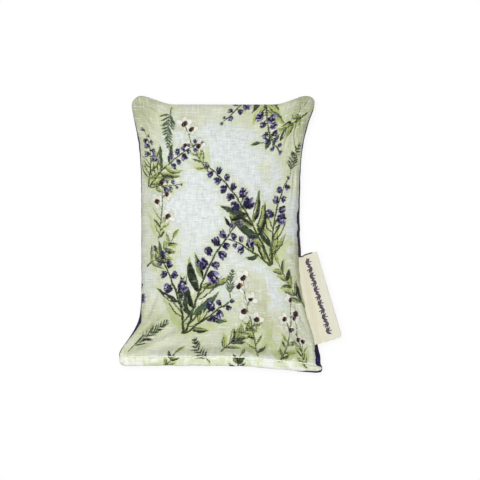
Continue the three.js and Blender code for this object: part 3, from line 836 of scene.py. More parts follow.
def dab(art, layer, at, heading, length, width, tone):
    """One touch of the brush."""
    at = np.asarray(at, float)
    line = [at + direction(heading) * length * f for f in (-0.5, -0.15, 0.25, 0.5)]
    art.stroke(layer, line, width / 2 * np.array([0.5, 1.0, 0.8, 0.2]), tone, 0.15)


def bell(art, at, heading, size, rng, depth=0.5):
    """A small nodding bell of three lobes, dabbed over with dark and pale touches. It is darker with
    more depth, 0 to 1."""
    at = np.asarray(at, float)
    axis = direction(heading)
    left = left_of(axis)
    for turn, reach in ((-27, 0.9), (25, 0.94), (0, 1.0)):
        lobe = at + direction(heading + turn) * size * reach
        line = bezier(at, at + direction(heading + turn * 1.5) * size * 0.5, lobe, 7)
        widths = size * np.array([0.12, 0.2, 0.25, 0.24, 0.2, 0.14, 0.05])
        art.stroke("violet", line, widths, rng.uniform(0.0, 0.8) + 0.5 * depth, 0.4)
    # Touches: layer, count, and the ranges of place ahead, place aside, turn, length, width and tone
    for layer, count, ahead, aside, turn, long, wide, tone in (
        ("ink", int(size * (1.5 + 2.6 * depth)), (0.0, 0.85), 0.36, 50, (0.24, 0.5), (0.16, 0.34), 1),
        ("light", 2, (0.45, 0.95), 0.3, 30, (0.15, 0.3), (0.08, 0.14), 0.5),
    ):
        for _ in range(count):
            place = at + axis * size * rng.uniform(*ahead) + left * size * rng.uniform(-aside, aside)
            dab(art, layer, place, heading + rng.uniform(-turn, turn), size * rng.uniform(*long),
                size * rng.uniform(*wide), rng.uniform(0, tone))
    for turn in (-50, 0, 50):
        line = bezier(at - axis * 0.4, at + axis * 0.2, at + direction(heading + turn) * size * 0.32, 4)
        art.stroke("ink", line, size * np.array([0.1, 0.1, 0.07, 0.02]), 0.9, 0.0)


def bell_spray(art, base, heading, length, curve, rng, scale=1.0, bells=7):
    """An arching stem with nodding bells along its upper half."""
    base = np.asarray(base, float)
    along = direction(heading)
    left = left_of(along)
    line = bezier(base, base + along * length * 0.55 + left * length * curve * 0.1,
                  base + along * length * 0.92 - left * length * curve, 26)
    stem(art, line, 1.5 * scale, 0.8)
    first, span = 0.46, 0.54
    for n, t, place, ahead, side in stations(line, first, span, bells, at_end=True):
        reach = (1 - 0.5 * (t - first) / span) * scale
        turn = ahead + side * rng.uniform(48, 72)
        droop = place + direction(turn) * rng.uniform(1.6, 3.2) * reach
        if n == bells - 1:
            droop = place + direction(ahead) * 1.5
            turn = ahead
        stem(art, bezier(place, place + direction(ahead + side * 20) * 2.6 * reach, droop, 7), 0.62)
        size = rng.uniform(5.0, 7.2) * reach
        bell(art, droop, turn + side * rng.uniform(0, 34), size, rng, rng.uniform(0.0, 0.5) + (t - first))
    return line


def spread_leaves(art, line, low, high, count, rng, length, width, kinds):
    for n in range(count):
        t = low + (high - low) * (n + 0.5) / count + rng.uniform(-0.02, 0.02)
        place, ahead = along_line(line, t)
        side = 1 if n % 2 else -1
        kind = kinds[int(rng.integers(len(kinds)))]
        leaf(art, kind, place, ahead + side * rng.uniform(24, 50), length * rng.uniform(0.75, 1.15),
             width * rng.uniform(0.75, 1.15), rng, bend=side * rng.uniform(0.02, 0.14))


def twig(art, base, heading, length, curve, pairs, rng, leaf_length, leaf_width, kinds=("green", "dark")):
    """A twig with leaves in pairs, and one at its tip."""
    line = arched(base, heading, length, curve, 18)
    stem(art, line, 0.85, 0.7)
    for _, t, place, ahead, _ in stations(line, 0.12, 0.8, pairs):
        shrink = 1 - 0.45 * t
        for side in (-1, 1):
            kind = kinds[int(rng.integers(len(kinds)))]
            turn = ahead + side * rng.uniform(34, 56)
            long = leaf_length * shrink * rng.uniform(0.85, 1.1)
            leaf(art, kind, place, turn, long, leaf_width * rng.uniform(0.8, 1.1), rng, bend=-side * 0.08)
    place, ahead = along_line(line, 1.0)
    leaf(art, kinds[0], place - direction(ahead) * 0.8, ahead, leaf_length * 0.7, leaf_width * 0.8, rng)


def blossom(art, at, size, turn, rng, squash=1.0):
    """Five rounded white petals about a dark middle."""
    at = np.asarray(at, float)
    for n in range(5):
        axis = direction(turn + 72 * n + rng.uniform(-6, 6)) * np.array([1, squash])
        line = np.array([at + axis * size * f for f in (0.12, 0.28, 0.4)])
        art.stroke("petal", line, size * np.array([0.09, 0.17, 0.14]), rng.uniform(0, 1), 0.3)
    middle = [at, at + np.array([0.1, 0.04]) * size]
    art.stroke("middle", middle, size * np.array([0.12, 0.11]), 0.5, 0.5)
    eye = [at - np.array([0.05, 0.05]) * size, at + np.array([0.03, 0.02]) * size]
    art.stroke("middle", eye, size * np.array([0.15, 0.14]), 1.2, 0.2)


def blossom_branch(art, base, heading, length, curve, rng, count=5, size=6.0):
    line = arched(base, heading, length, curve, 20)
    stem(art, line, 0.8, 0.5)
    for n, t, place, ahead, side in stations(line, 0.35, 0.65, count, at_end=True):
        reach = rng.uniform(6, 9) * (1 - 0.4 * t)
        end = place + direction(ahead + side * rng.uniform(28, 50)) * reach
        if n == count - 1:
            end = place + direction(ahead) * 2
        stem(art, bezier(place, (place + end) / 2 + direction(ahead) * 1.2, end, 7), 0.6, 0.4)
        blossom(art, end, size * rng.uniform(0.85, 1.1), rng.uniform(0, 72), rng, rng.uniform(0.75, 1))
    for n, _, place, ahead, side in stations(line, 0.04, 0.4, 6):
        leaf(art, "green" if n % 3 else "dark", place, ahead + side * rng.uniform(25, 60), rng.uniform(5, 9),
             rng.uniform(1.3, 2.0), rng, bend=side * 0.1)


def fern(art, base, heading, length, curve, rng, tone):
    """A small frond of narrow leaflets in pairs."""
    line = arched(base, heading, length, curve, 16)
    stem(art, line, 0.7, 0.75)
    count = max(int(length / 2.3), 4)
    for _, t, place, ahead, _ in stations(line, 0.15, 0.83, count):
        for side in (-1, 1):
            turn = ahead + side * rng.uniform(34, 52)
            blade, widths, _ = leaf_line(place, turn, length * 0.27 * (1.05 - t) + 1.4, 1.2, -side * 0.1)
            art.stroke("dark", blade, widths, tone * rng.uniform(0.5, 1.2), 0.1)


def botanical(x, y):
    """The print of the front cloth: bell-flower sprays, leafy twigs, blossom branches and ferns."""
    art = Print(x, y, wobble=0.42)
    rng = np.random.default_rng(11)

    def fan(base, headings, length, width):
        for heading in headings:
            leaf(art, "ghost", base, heading + rng.uniform(-5, 5), length * rng.uniform(0.8, 1.15),
                 width * rng.uniform(0.8, 1.2), rng, bend=rng.uniform(-0.12, 0.12))

    def plant(base, heading, scale, m):
        """Three sprays of bells over long leaves, with pale leaves behind. m is 1, or -1 mirrored."""
        base = np.asarray(base, float)
        aside = direction(heading + 90) * m
        fan(base, [heading + turn for turn in (-58, -30, -8, 16, 44)], 27 * scale, 6.4 * scale)
        fan(base + direction(heading) * 16 * scale, (heading - 34, heading + 26), 22 * scale, 5.4 * scale)
        # Sprays: place beside the base, turn, length, curve, size and bells, then the leaves at the foot:
        # first and last share of the stem, count, length, width and kinds
        for beside, turn, length, curve, size, bells, low, high, count, long, wide, kinds in (
            (0, -10, 76, 0.2, 1.05, 11, 0.02, 0.44, 8, 21, 5.6, ("green", "dark", "pale")),
            (1, 17, 52, -0.18, 0.95, 8, 0.05, 0.45, 5, 16, 4.6, ("pale", "dark", "green")),
            (-1, -42, 34, 0.1, 0.85, 6, 0.05, 0.45, 3, 13, 3.8, ("dark", "green")),
        ):
            line = bell_spray(art, base + beside * aside, heading + turn * m, length * scale, curve * m, rng,
                              size * scale, bells)
            spread_leaves(art, line, low, high, count, rng, long * scale, wide * scale, kinds)

    plant((-24, 19), 83, 1.0, 1)
    plant((33, 60), 104, 0.94, -1)
    plant((-48, 100), 62, 0.62, 1)
    plant((20, 172), 268, 0.72, -1)
    for base, heading, length, curve, count, size in (
        ((20, 6), 98, 44, 0.07, 5, 9.8), ((31, 4), 70, 36, -0.08, 4, 9.0), ((-42, 72), 84, 30, -0.07, 4, 9.2),
        ((46, 2), 95, 26, 0.08, 3, 8.6), ((-8, 112), 118, 30, 0.1, 4, 8.8),
    ):
        fan(base, (heading - 30, heading + 5, heading + 35), length * 0.5, 4.6)
        blossom_branch(art, base, heading, length, curve, rng, count, size)
    # Twigs: base, heading, length, curve, pairs of leaves, and a leaf's length and width
    for base, heading, length, curve, pairs, *leaf_size in (
        ((0, 8), 42, 24, 0.14, 5, 10, 3.1), ((-50, 56), 44, 26, -0.12, 5, 10.5, 3.3),
        ((54, 36), 122, 30, 0.1, 5, 11, 3.4), ((52, 142), 205, 30, 0.12, 5, 9.5, 3.1, ("dark", "green")),
        ((6, 78), 62, 20, 0.1, 4, 8.5, 2.8),
    ):
        twig(art, base, heading, length, curve, pairs, rng, *leaf_size)
    # Ferns: base, heading, length, curve and tone
    for base, heading, length, curve, tone in (
        ((-50, 8), 50, 24, 0.1, 0.7), ((-30, 150), 262, 26, -0.08, 0.2), ((47, 108), 72, 19, 0.08, 0.7),
        ((4, 40), 78, 17, 0.08, 0.3), ((-6, 2), 128, 18, 0.08, 0.7),
    ):
        fern(art, base, heading, length, curve, rng, tone)
    bell_spray(art, (-54, 24), 108, 26, 0.15, rng, 0.8, 4)
    twig(art, (8, -9), 80, 16, 0.1, 3, rng, 8.0, 2.7)
    twig(art, (-32, -7), 60, 17, 0.1, 3, rng, 8.0, 2.6)
    return art


def washes_and_painted_shade(x, y):
    """Pale brushed patches behind the plants, straight-sided, with ragged dry edges, over painted shade that
    darkens both top corners, the sides, the top and the foot, and painted light on the middle.
    """
    rng = np.random.default_rng(21)
    ragged = 1.6 * value_noise(x, y * 3, 6, 31) + 1.2 * value_noise(x * 3, y, 6, 32)
    cloudy = value_noise(x, y * 0.6, 15, 33)
    # Both top corners and the foot carry a deeper tint, and the middle a paler one: partly the print's own
    # washes, partly painted shade where the crown slopes away from the light and painted light on its middle.
    ear_tint_and_shade = np.exp(-(((np.abs(x) - 51) / 10) ** 2) - ((y - 145) / 18) ** 2) * (0.85 + 0.95 * (x > 0))
    total = 0.05 + 0.25 * cloudy + 1.1 * ear_tint_and_shade
    # Painted shade: darker towards both sides, more so higher up, and towards the top
    sides = smooth((np.abs(x) - 32) / 14)
    total = total + 0.4 * smooth((y - 130) / 14) + 0.2 * (1 + smooth((y - 90) / 20)) * sides
    # Partly painted shade on the slope above the hem, and partly painted light on the middle
    total = total + 0.45 * smooth((y - 5) / 3) * (1 - smooth((y - 26) / 16))
    total = total - 0.5 * np.exp(-((x / 26) ** 2) - ((y - 108) / 30) ** 2)
    for _ in range(40):
        centre = rng.uniform((-56, -6), (56, 156))
        half = rng.uniform((3, 3), (12, 11))
        inside = np.minimum(half[0] - np.abs(x - centre[0]), half[1] - np.abs(y - centre[1]))
        total = total + rng.uniform(0.15, 0.45) * smooth((inside + 1.6 * ragged) / 5 + 0.5)
    return total


# Materials

def srgb(red, green, blue):
    """A colour as seen, 0 to 255 each, turned into the linear colour that a shader takes."""
    parts = [c / 255 for c in (red, green, blue)]
    return tuple(c / 12.92 if c <= 0.04045 else ((c + 0.055) / 1.055) ** 2.4 for c in parts) + (1.0,)


class Nodes:
    """A tree of nodes, with short calls for the ones that repeat."""

    def __init__(self, owner):
        owner.use_nodes = True
        self.tree = owner.node_tree

    def node(self, kind, inputs=(), **settings):
        node = self.tree.nodes.new(kind)
        for key, value in settings.items():
            setattr(node, key, value)
        for key, value in dict(inputs).items():
            self.feed(node.inputs[key], value)
        return node

    def feed(self, socket, value):
        if isinstance(value, bpy.types.NodeSocket):
            self.tree.links.new(value, socket)
        else:
            socket.default_value = value

    def math(self, operation, a, b=0.0, c=0.0, clamp=False):
        node = self.node("ShaderNodeMath", {0: a, 1: b, 2: c}, operation=operation, use_clamp=clamp)
        return node.outputs[0]

    def add(self, *values):
        total = values[0]
        for value in values[1:]:
            total = self.math("ADD", total, value)
        return total

    def times(self, a, b):
        return self.math("MULTIPLY", a, b)


class Shader(Nodes):
    """A material made of nodes."""

    def __init__(self, name, roughness, sheen=0.0, sheen_roughness=0.5, specular=0.3):
        self.material = bpy.data.materials.new(name)
        super().__init__(self.material)
        self.surface = self.tree.nodes["Principled BSDF"]
        for key, value in (
            ("Roughness", roughness), ("Sheen Weight", sheen), ("Sheen Roughness", sheen_roughness),
            ("Specular IOR Level", specular),
        ):
            self.surface.inputs[key].default_value = value

    def attribute(self, name):
        return self.node("ShaderNodeAttribute", attribute_name=name).outputs["Fac"]

    def ramp(self, value, low, high, to_low=0.0, to_high=1.0):
        inputs = {"Value": value, "From Min": low, "From Max": high, "To Min": to_low, "To Max": to_high}
        return self.node("ShaderNodeMapRange", inputs, interpolation_type="SMOOTHSTEP").outputs["Result"]

    def mix(self, share, a, b, blend="MIX"):
        node = self.node("ShaderNodeMix", data_type="RGBA", blend_type=blend, clamp_factor=True)
        self.feed(node.inputs[0], share)
        self.feed(node.inputs[6], a)
        self.feed(node.inputs[7], b)
        return node.outputs[2]

    def over(self, colour, tint, value, low, high, share=1.0, blend="MIX"):
        """A colour with a tint over it, that comes in as value runs from low to high, up to a share."""
        return self.mix(self.ramp(value, low, high, 0.0, share), colour, tint, blend)

    def centred(self, value):
        return self.math("SUBTRACT", value, 0.5)

    def flat(self):
        """The place on the flat cloth, in millimetres."""
        place = self.node("ShaderNodeUVMap", uv_map="OFBake").outputs["UV"]
        node = self.node("ShaderNodeVectorMath", {0: place, 1: (SHEET, SHEET, 1)}, operation="MULTIPLY")
        return node.outputs[0]

    def stretched(self, place, x, y):
        node = self.node("ShaderNodeVectorMath", {0: place, 1: (x, y, 1)}, operation="MULTIPLY")
        return node.outputs[0]

    def noise(self, place, scale, detail=2.0, roughness=0.5):
        inputs = {"Vector": place, "Scale": scale, "Detail": detail, "Roughness": roughness}
        return self.node("ShaderNodeTexNoise", inputs).outputs["Fac"]

    def weave(self, place, pitch):
        """Height of a plain weave, 0 to 1, with threads that vary in thickness."""
        parts = self.node("ShaderNodeSeparateXYZ", {0: place})
        wobble = self.centred(self.noise(place, 0.3))
        across, along = (self.add(parts.outputs[k], wobble) for k in (0, 1))
        waves = [self.math("SINE", self.times(place, math.pi / pitch)) for place in (across, along)]
        over = self.ramp(self.times(*waves), -0.25, 0.25)
        warp, weft = (self.math("ABSOLUTE", wave) for wave in waves)
        return self.add(self.times(warp, over), self.times(weft, self.math("SUBTRACT", 1.0, over)))

    def bump(self, *heights):
        """Bumps from pairs of a height and its depth in millimetres."""
        normal = None
        for height, depth in heights:
            inputs = {"Height": height, "Strength": 1.0, "Distance": depth * MM}
            node = self.node("ShaderNodeBump", inputs)
            if normal is not None:
                self.feed(node.inputs["Normal"], normal)
            normal = node.outputs["Normal"]
        self.feed(self.surface.inputs["Normal"], normal)

    def colour(self, value):
        self.feed(self.surface.inputs["Base Color"], value)
        return self.material


def front_cloth():
    shader = Shader("front_cloth", 0.92, sheen=0.04, sheen_roughness=0.5, specular=0.18)
    flat = shader.flat()
    weft = shader.noise(shader.stretched(flat, 0.12, 1.35), 1.0, 2.0, 0.55)
    warp = shader.noise(shader.stretched(flat, 1.35, 0.12), 1.0, 2.0, 0.55)
    fine = shader.noise(flat, 1.9, 2.0, 0.6)
    cloudy = shader.noise(flat, 0.3, 3.0, 0.6)
    uneven_weft, uneven_warp, grain, drift = (shader.centred(value) for value in (weft, warp, fine, cloudy))
    # Paint catches on the thicker threads, so every edge is ragged along both sets of threads.
    parts = ((grain, 1.1), (uneven_weft, 0.9), (uneven_warp, 0.7))
    ragged = shader.add(*(shader.times(value, share) for value, share in parts))
    # Bluish white cloth, under pale green brushed patches that also carry painted shade at the top corners,
    # sides, top and foot, darkest in the third tone
    ground = shader.over(srgb(213, 220, 219), srgb(228, 233, 232), cloudy, 0.4, 0.62)
    wash = shader.add(shader.attribute("wash"), shader.times(ragged, 0.5), shader.times(drift, 0.3))
    ground = shader.over(ground, srgb(213, 216, 189), wash, 0.0, 0.5)
    ground = shader.over(ground, srgb(194, 197, 162), wash, 0.5, 1.2)
    ground = shader.over(ground, srgb(170, 174, 136), wash, 1.2, 2.0)
    # The hem is creamier and paler, with green mottles; its paleness is partly painted light, for the flat
    # hem that faces the lamp.
    hem = shader.ramp(shader.node("ShaderNodeSeparateXYZ", {0: flat}).outputs[1], HEM_AT + 0.6, HEM_AT - 0.8)
    mottle = shader.noise(shader.stretched(flat, 1.0, 0.7), 0.16, 3.0, 0.65)
    cream_and_painted_light = shader.over(srgb(247, 248, 240), srgb(216, 223, 176), mottle, 0.44, 0.6)
    ground = shader.mix(shader.times(hem, 0.75), ground, cream_and_painted_light)
    halo = shader.add(shader.attribute("halo"), shader.times(drift, 9.0), shader.times(ragged, 1.5))
    ground = shader.mix(shader.times(shader.ramp(halo, -4.0, 0.6), 0.5), ground, srgb(196, 206, 146))
    shadow = shader.ramp(shader.add(shader.attribute("in_petal"), ragged), -1.0, 0.1)
    ground = shader.mix(shader.times(shadow, 0.6), ground, srgb(172, 181, 140))
    # Slubs in the yarn: pale where a thread is thick, and darker where it is thin
    for yarn, pale, pale_share, dim, dim_share in (
        (weft, srgb(243, 246, 246), 0.6, srgb(184, 192, 184), 0.5),
        (warp, srgb(242, 244, 241), 0.4, srgb(182, 193, 184), 0.4),
    ):
        ground = shader.over(ground, pale, yarn, 0.54, 0.7, pale_share)
        ground = shader.over(ground, dim, yarn, 0.46, 0.32, dim_share)
    colour = ground
    for name, light, deep, strength, edge in (
        ("ghost", srgb(206, 214, 160), srgb(168, 180, 112), 0.7, 0.45),
        ("petal", srgb(242, 242, 236), srgb(206, 206, 190), 0.9, 0.25),
        ("green", srgb(180, 190, 108), srgb(84, 98, 52), 0.92, 0.25),
        ("stem", srgb(104, 118, 62), srgb(26, 32, 22), 1.0, 0.2),
        ("dark", srgb(80, 100, 72), srgb(8, 9, 8), 1.0, 0.2),
        ("violet", srgb(150, 141, 188), srgb(48, 40, 88), 1.0, 0.2),
        ("ink", srgb(36, 29, 68), srgb(8, 7, 14), 1.0, 0.18),
        ("light", srgb(196, 190, 226), srgb(226, 232, 206), 0.9, 0.2),
        ("middle", srgb(166, 116, 70), srgb(34, 15, 12), 1.0, 0.18),
    ):
        inside = shader.ramp(shader.add(shader.attribute("in_" + name), ragged), -edge, edge, 0.0, strength)
        tone = shader.add(shader.attribute("tone_" + name), shader.times(drift, 1.6), ragged)
        paint = shader.mix(shader.math("ADD", tone, 0.0, clamp=True), light, deep)
        colour = shader.mix(inside, colour, paint)
    # Thick threads stay bare here and there under the paint.
    for yarn in (warp, weft):
        thickness = shader.add(yarn, shader.times(grain, 0.4))
        colour = shader.over(colour, srgb(226, 229, 222), thickness, 0.6, 0.78, 0.3)
    weave = shader.weave(flat, 0.5)
    # Painted shade: darker in the low places of the weave, between the threads
    colour = shader.over(colour, srgb(70, 78, 62), weave, 0.55, 0.0, 0.28, "MULTIPLY")
    shader.bump((weave, 0.1), (weft, 0.2), (warp, 0.16))
    return shader.colour(colour)


def back_cloth():
    shader = Shader("back_cloth", 0.9, sheen=0.03, sheen_roughness=0.5, specular=0.15)
    flat = shader.flat()
    blotch = shader.noise(flat, 0.22, 4.0, 0.62)
    mottle = shader.noise(flat, 0.9, 3.0, 0.65)
    fleck = shader.noise(shader.stretched(flat, 1.0, 1.3), 1.7, 2.0, 0.5)
    colour = shader.over(srgb(14, 11, 30), srgb(36, 28, 72), blotch, 0.35, 0.66)
    colour = shader.over(colour, srgb(78, 66, 130), mottle, 0.56, 0.72, 0.6)
    colour = shader.over(colour, srgb(8, 6, 18), mottle, 0.42, 0.28, 0.8)
    colour = shader.over(colour, srgb(168, 158, 206), fleck, 0.66, 0.74, 0.9)
    weave = shader.weave(flat, 0.5)
    # Painted shade: darker in the low places of the weave, between the threads
    colour = shader.over(colour, srgb(90, 84, 110), weave, 0.5, 0.0, 0.5, "MULTIPLY")
    shader.bump((weave, 0.1), (mottle, 0.05))
    return shader.colour(colour)


def label_tape():
    shader = Shader("label_tape", 0.8, sheen=0.1, sheen_roughness=0.4, specular=0.25)
    flat = shader.flat()
    weave = shader.weave(flat, 0.32)
    rib = shader.noise(shader.stretched(flat, 0.2, 5.0), 1.0, 1.0, 0.5)
    fine = shader.centred(shader.noise(flat, 3.0, 2.0, 0.5))
    across, open_end_shade, in_mark = (
        shader.add(shader.attribute(name), shader.times(fine, rough))
        for name, rough in (("across", 0.3), ("open_end_shade", 0.5), ("in_mark", 0.22))
    )
    colour = shader.over(srgb(213, 212, 195), srgb(211, 207, 184), across, 0.1, 0.9)
    colour = shader.over(colour, srgb(236, 234, 218), rib, 0.4, 0.7, 0.25)
    # Painted shade: a dark rim along the tape's open top end, standing for the shadow in the gap between its
    # plies
    colour = shader.over(colour, srgb(56, 46, 54), open_end_shade, 0.25, 0.5)
    paint = shader.mix(shader.attribute("tone_mark"), srgb(92, 76, 112), srgb(36, 26, 52))
    colour = shader.over(colour, paint, in_mark, -0.1, 0.1, 0.94)
    # Painted shade: darker in the low places of the weave, between the threads
    colour = shader.over(colour, srgb(120, 110, 90), weave, 0.4, 0.0, 0.22, "MULTIPLY")
    shader.bump((weave, 0.05), (rib, 0.04))
    return shader.colour(colour)


def sewing_thread():
    shader = Shader("sewing_thread", 0.6, sheen=0.2, sheen_roughness=0.4, specular=0.4)
    flat = shader.flat()
    parts = shader.node("ShaderNodeSeparateXYZ", {0: flat})
    turns = [shader.times(parts.outputs[k], TURN / pitch) for k, pitch in ((0, 0.7), (1, 0.66))]
    phase = shader.add(*turns)
    twist = shader.math("ABSOLUTE", shader.math("SINE", phase))
    fuzz = shader.noise(shader.stretched(flat, 3.0, 9.0), 1.0, 2.0, 0.6)
    # Painted shade: darker in the grooves of the twist, paler on its raised plies
    colour = shader.over(srgb(222, 221, 190), srgb(251, 250, 236), twist, 0.1, 0.7)
    colour = shader.over(colour, srgb(254, 254, 246), fuzz, 0.45, 0.7, 0.3)
    shader.bump((twist, 0.08), (fuzz, 0.02))
    return shader.colour(colour)


def lavender_buds():
    shader = Shader("lavender_buds", 0.95, specular=0.2)
    place = shader.node("ShaderNodeTexCoord").outputs["Object"]
    cells = shader.node("ShaderNodeTexVoronoi", {"Vector": place, "Scale": 420.0})
    tint = shader.noise(place, 300.0, 2.0, 0.6)
    colour = shader.over(srgb(98, 84, 132), srgb(142, 132, 120), tint, 0.35, 0.65)
    # Painted shade: darker in the crevices between the buds, at the cells' edges
    colour = shader.over(colour, srgb(52, 44, 60), cells.outputs["Distance"], 0.3, 0.7)
    shader.bump((shader.math("SUBTRACT", 1.0, cells.outputs["Distance"]), 0.8))
    return shader.colour(colour)


# Pieces

def finish_piece(piece, material, slot, *nodes, body="bag"):
    piece.data.materials.append(material)
    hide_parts(*nodes)
    if body:
        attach(piece, body)
    return piece


def bake_places(flat):
    """Places on the flat cloth as shares of a square sheet that holds the whole cut."""
    return (np.asarray(flat) + np.array([SHEET / 2, SHEET_FOLD])) / SHEET


front = Panel(1, 0.46)
back = Panel(-1, 0.75)

points, faces, flat = front.mesh_parts()
art = botanical(flat[:, 0], flat[:, 1])
values = {}
for name in LAYERS:
    values["in_" + name] = art.inside[name]
    values["tone_" + name] = art.tone[name]
values["halo"] = np.maximum.reduce([art.inside[name] for name in ("green", "dark", "stem", "violet")])
# The print's washes together with painted shade at the top corners, sides, top and foot
values["wash"] = washes_and_painted_shade(flat[:, 0], flat[:, 1])
front_piece = make_piece("sachet_front", points, faces, bake_places(flat), values)
finish_piece(front_piece, front_cloth(), "front_cloth", "front_panel")

points, faces, flat = back.mesh_parts()
back_piece = make_piece("sachet_back", points, faces, bake_places(flat))
finish_piece(back_piece, back_cloth(), "back_cloth", "back_panel")


def tube(line, radius, sides=8):
    """Points, faces and flat places of a round tube along a line, drawn in almost to a point at each end."""
    line = np.asarray(line, float)
    ahead = np.gradient(line, axis=0)
    ahead /= np.linalg.norm(ahead, axis=1, keepdims=True)
    sideways = np.cross(ahead, (0, 0, 1))
    sideways /= np.maximum(np.linalg.norm(sideways, axis=1, keepdims=True), 1e-6)
    upward = np.cross(sideways, ahead)
    angles = np.arange(sides) * TURN / sides
    radii = np.full(len(line), radius)
    radii[0] = radii[-1] = radius * 0.05
    rings = line[:, None] + radii[:, None, None] * (
        np.cos(angles)[None, :, None] * sideways[:, None] + np.sin(angles)[None, :, None] * upward[:, None]
    )
    run = np.concatenate([[0], np.cumsum(np.linalg.norm(np.diff(line, axis=0), axis=1))])
    places = np.stack(np.broadcast_arrays(run[:, None], (angles * radius)[None, :]), -1)
    return rings.reshape(-1, 3), grid_faces(len(line), sides, closed=True), places.reshape(-1, 2)


def thread_piece(name, line, radius, material, node):
    points, faces, places = tube(line, radius)
    # The long tube is laid out in short strips for its bake.
    strip = 150.0
    row = np.floor(places[:, 0] / strip)
    places = np.stack([places[:, 0], places[:, 1] + row * 3.0], -1)
    piece = make_piece(name, points, faces, places / SHEET)
    return finish_piece(piece, material, "sewing_thread", node)


def hem_stitches(panel):
    """The line of the topstitching on one face: over the cloth for each stitch, and down at each hole."""
    from_left, from_right = 1.4, 1.4 if panel.side > 0 else 6.2
    steps = 12
    window = 3 * steps + 1
    first = -CLOTH_HALF + from_left
    last = CLOTH_HALF - from_right
    count = int((last - first) / STITCH)
    rng = np.random.default_rng(5 if panel.side > 0 else 6)
    t = np.linspace(0, count, count * steps + 1)
    stitch = np.floor(np.minimum(t, count - 1e-6)).astype(int)
    f = t - stitch
    p = first + t * STITCH
    drift = 0.07 * rng.normal(size=count)[stitch] + 0.12 * (f - 0.5)
    base = panel.height_at(p, np.full(p.shape, HEM_DEPTH))
    padded_z = np.pad(base[:, 2], window // 2, mode="edge")
    smooth_z = np.convolve(padded_z, np.ones(window) / window, mode="valid")
    rise = -0.55 + 0.88 * np.sin(np.pi * f) ** 0.8
    return np.stack([base[:, 0], base[:, 1] + drift, smooth_z + panel.side * (rise + 0.1)], -1)


def seam_stitches(panel):
    """The line of the closed seam, on the allowance inside the folded edge."""
    from_hem, inward_by, over_plane = 10, 2.4, 0.42
    at = panel.border()
    at = at[panel.q[tuple(at.T)] > from_hem][::3]
    edge = panel.points[tuple(at.T)]
    inward = -edge[:, :2]
    inward /= np.linalg.norm(inward, axis=1, keepdims=True)
    line = edge.copy()
    line[:, :2] += inward * inward_by
    opened = label_opening(edge[:, 0], edge[:, 1])
    line[:, 2] = SEAM_Z + seam_rise(seam_roll(edge[:, 0], edge[:, 1])) + panel.side * (over_plane + opened)
    return line


thread = sewing_thread()
for name, line, radius in (
    ("hem_needle", hem_stitches(front), 0.33), ("hem_bobbin", hem_stitches(back), 0.25),
    ("seam_needle", seam_stitches(front), 0.12), ("seam_bobbin", seam_stitches(back), 0.12),
):
    thread_piece(name + "_stitches", line, radius, thread, name + "_thread")


def bud_filling():
    """The body of buds inside: both faces drawn in by a small gap, joined round a rounded rim."""
    depth = 1.0
    margin = 3
    across, along = 26, 36
    layers = []
    for panel in (front, back):
        i = np.linspace(0, panel.p.shape[0] - 1, across + 1).round().astype(int)[margin:-margin]
        j = np.linspace(panel.hem, panel.p.shape[1] - 1, along + 1).round().astype(int)[margin:-margin]
        inner = panel.points - panel.normals() * depth
        layers.append(inner[np.ix_(i, j)])
    top, bottom = layers
    bumps = 0.3 * np.random.default_rng(9).normal(size=top.shape[:2])
    top[..., 2] -= np.abs(bumps)
    bottom[..., 2] += np.abs(bumps)
    points = np.concatenate([top.reshape(-1, 3), bottom.reshape(-1, 3)])
    piece = make_piece("bud_filling", points, shell_faces(*top.shape[:2]))
    return finish_piece(piece, lavender_buds(), "lavender_buds", "lavender_filling")


bud_filling()

# The label: one tape, folded, with its ends in the side seam. Its free part curls a little from a line just
# outside the seam.

label_along = np.array([math.sin(LABEL_TILT), -math.cos(LABEL_TILT)])
label_across = np.array([math.cos(LABEL_TILT), math.sin(LABEL_TILT)])
hinge_top = np.array([edge_x(1, LABEL_TOP_Y) + LABEL_HINGE_GAP, LABEL_TOP_Y])
hinge_end_y = LABEL_TOP_Y - LABEL_WIDTH
hinge_end = np.array([edge_x(1, hinge_end_y) + LABEL_HINGE_GAP, hinge_end_y])
hinge_along = (hinge_end - hinge_top) / np.linalg.norm(hinge_end - hinge_top)


def cross(a, b):
    return a[..., 0] * b[..., 1] - a[..., 1] * b[..., 0]


def label_print(art, rng):
    """A running scroll of leaves and short stalks along a wavy line on the tape, in place of any words."""
    middle = 6.0
    t = np.linspace(2.6, 44.2, 150)
    wave = np.stack([t, middle + 1.1 * np.sin((t - 2.6) * TURN / 7.56)], -1)
    art.stroke("mark", wave, 0.27 + 0.1 * np.sin(t * 5.1), 0.9)
    for n in range(11):
        centre = 2.6 + 3.78 * (n + 0.5)
        up = 1 if n % 2 else -1
        base = np.array([centre, middle - up * 1.0])
        for turn in (50, 130):
            line, widths, _ = leaf_line(base, up * turn, 3.1, 1.35, 0.12)
            art.stroke("mark", line, widths, rng.uniform(0.5, 1.0), 0.2)
        stalk = [base, base + np.array([0.1, up * 2.6])]
        art.stroke("mark", stalk, [0.2, 0.3], 0.9)


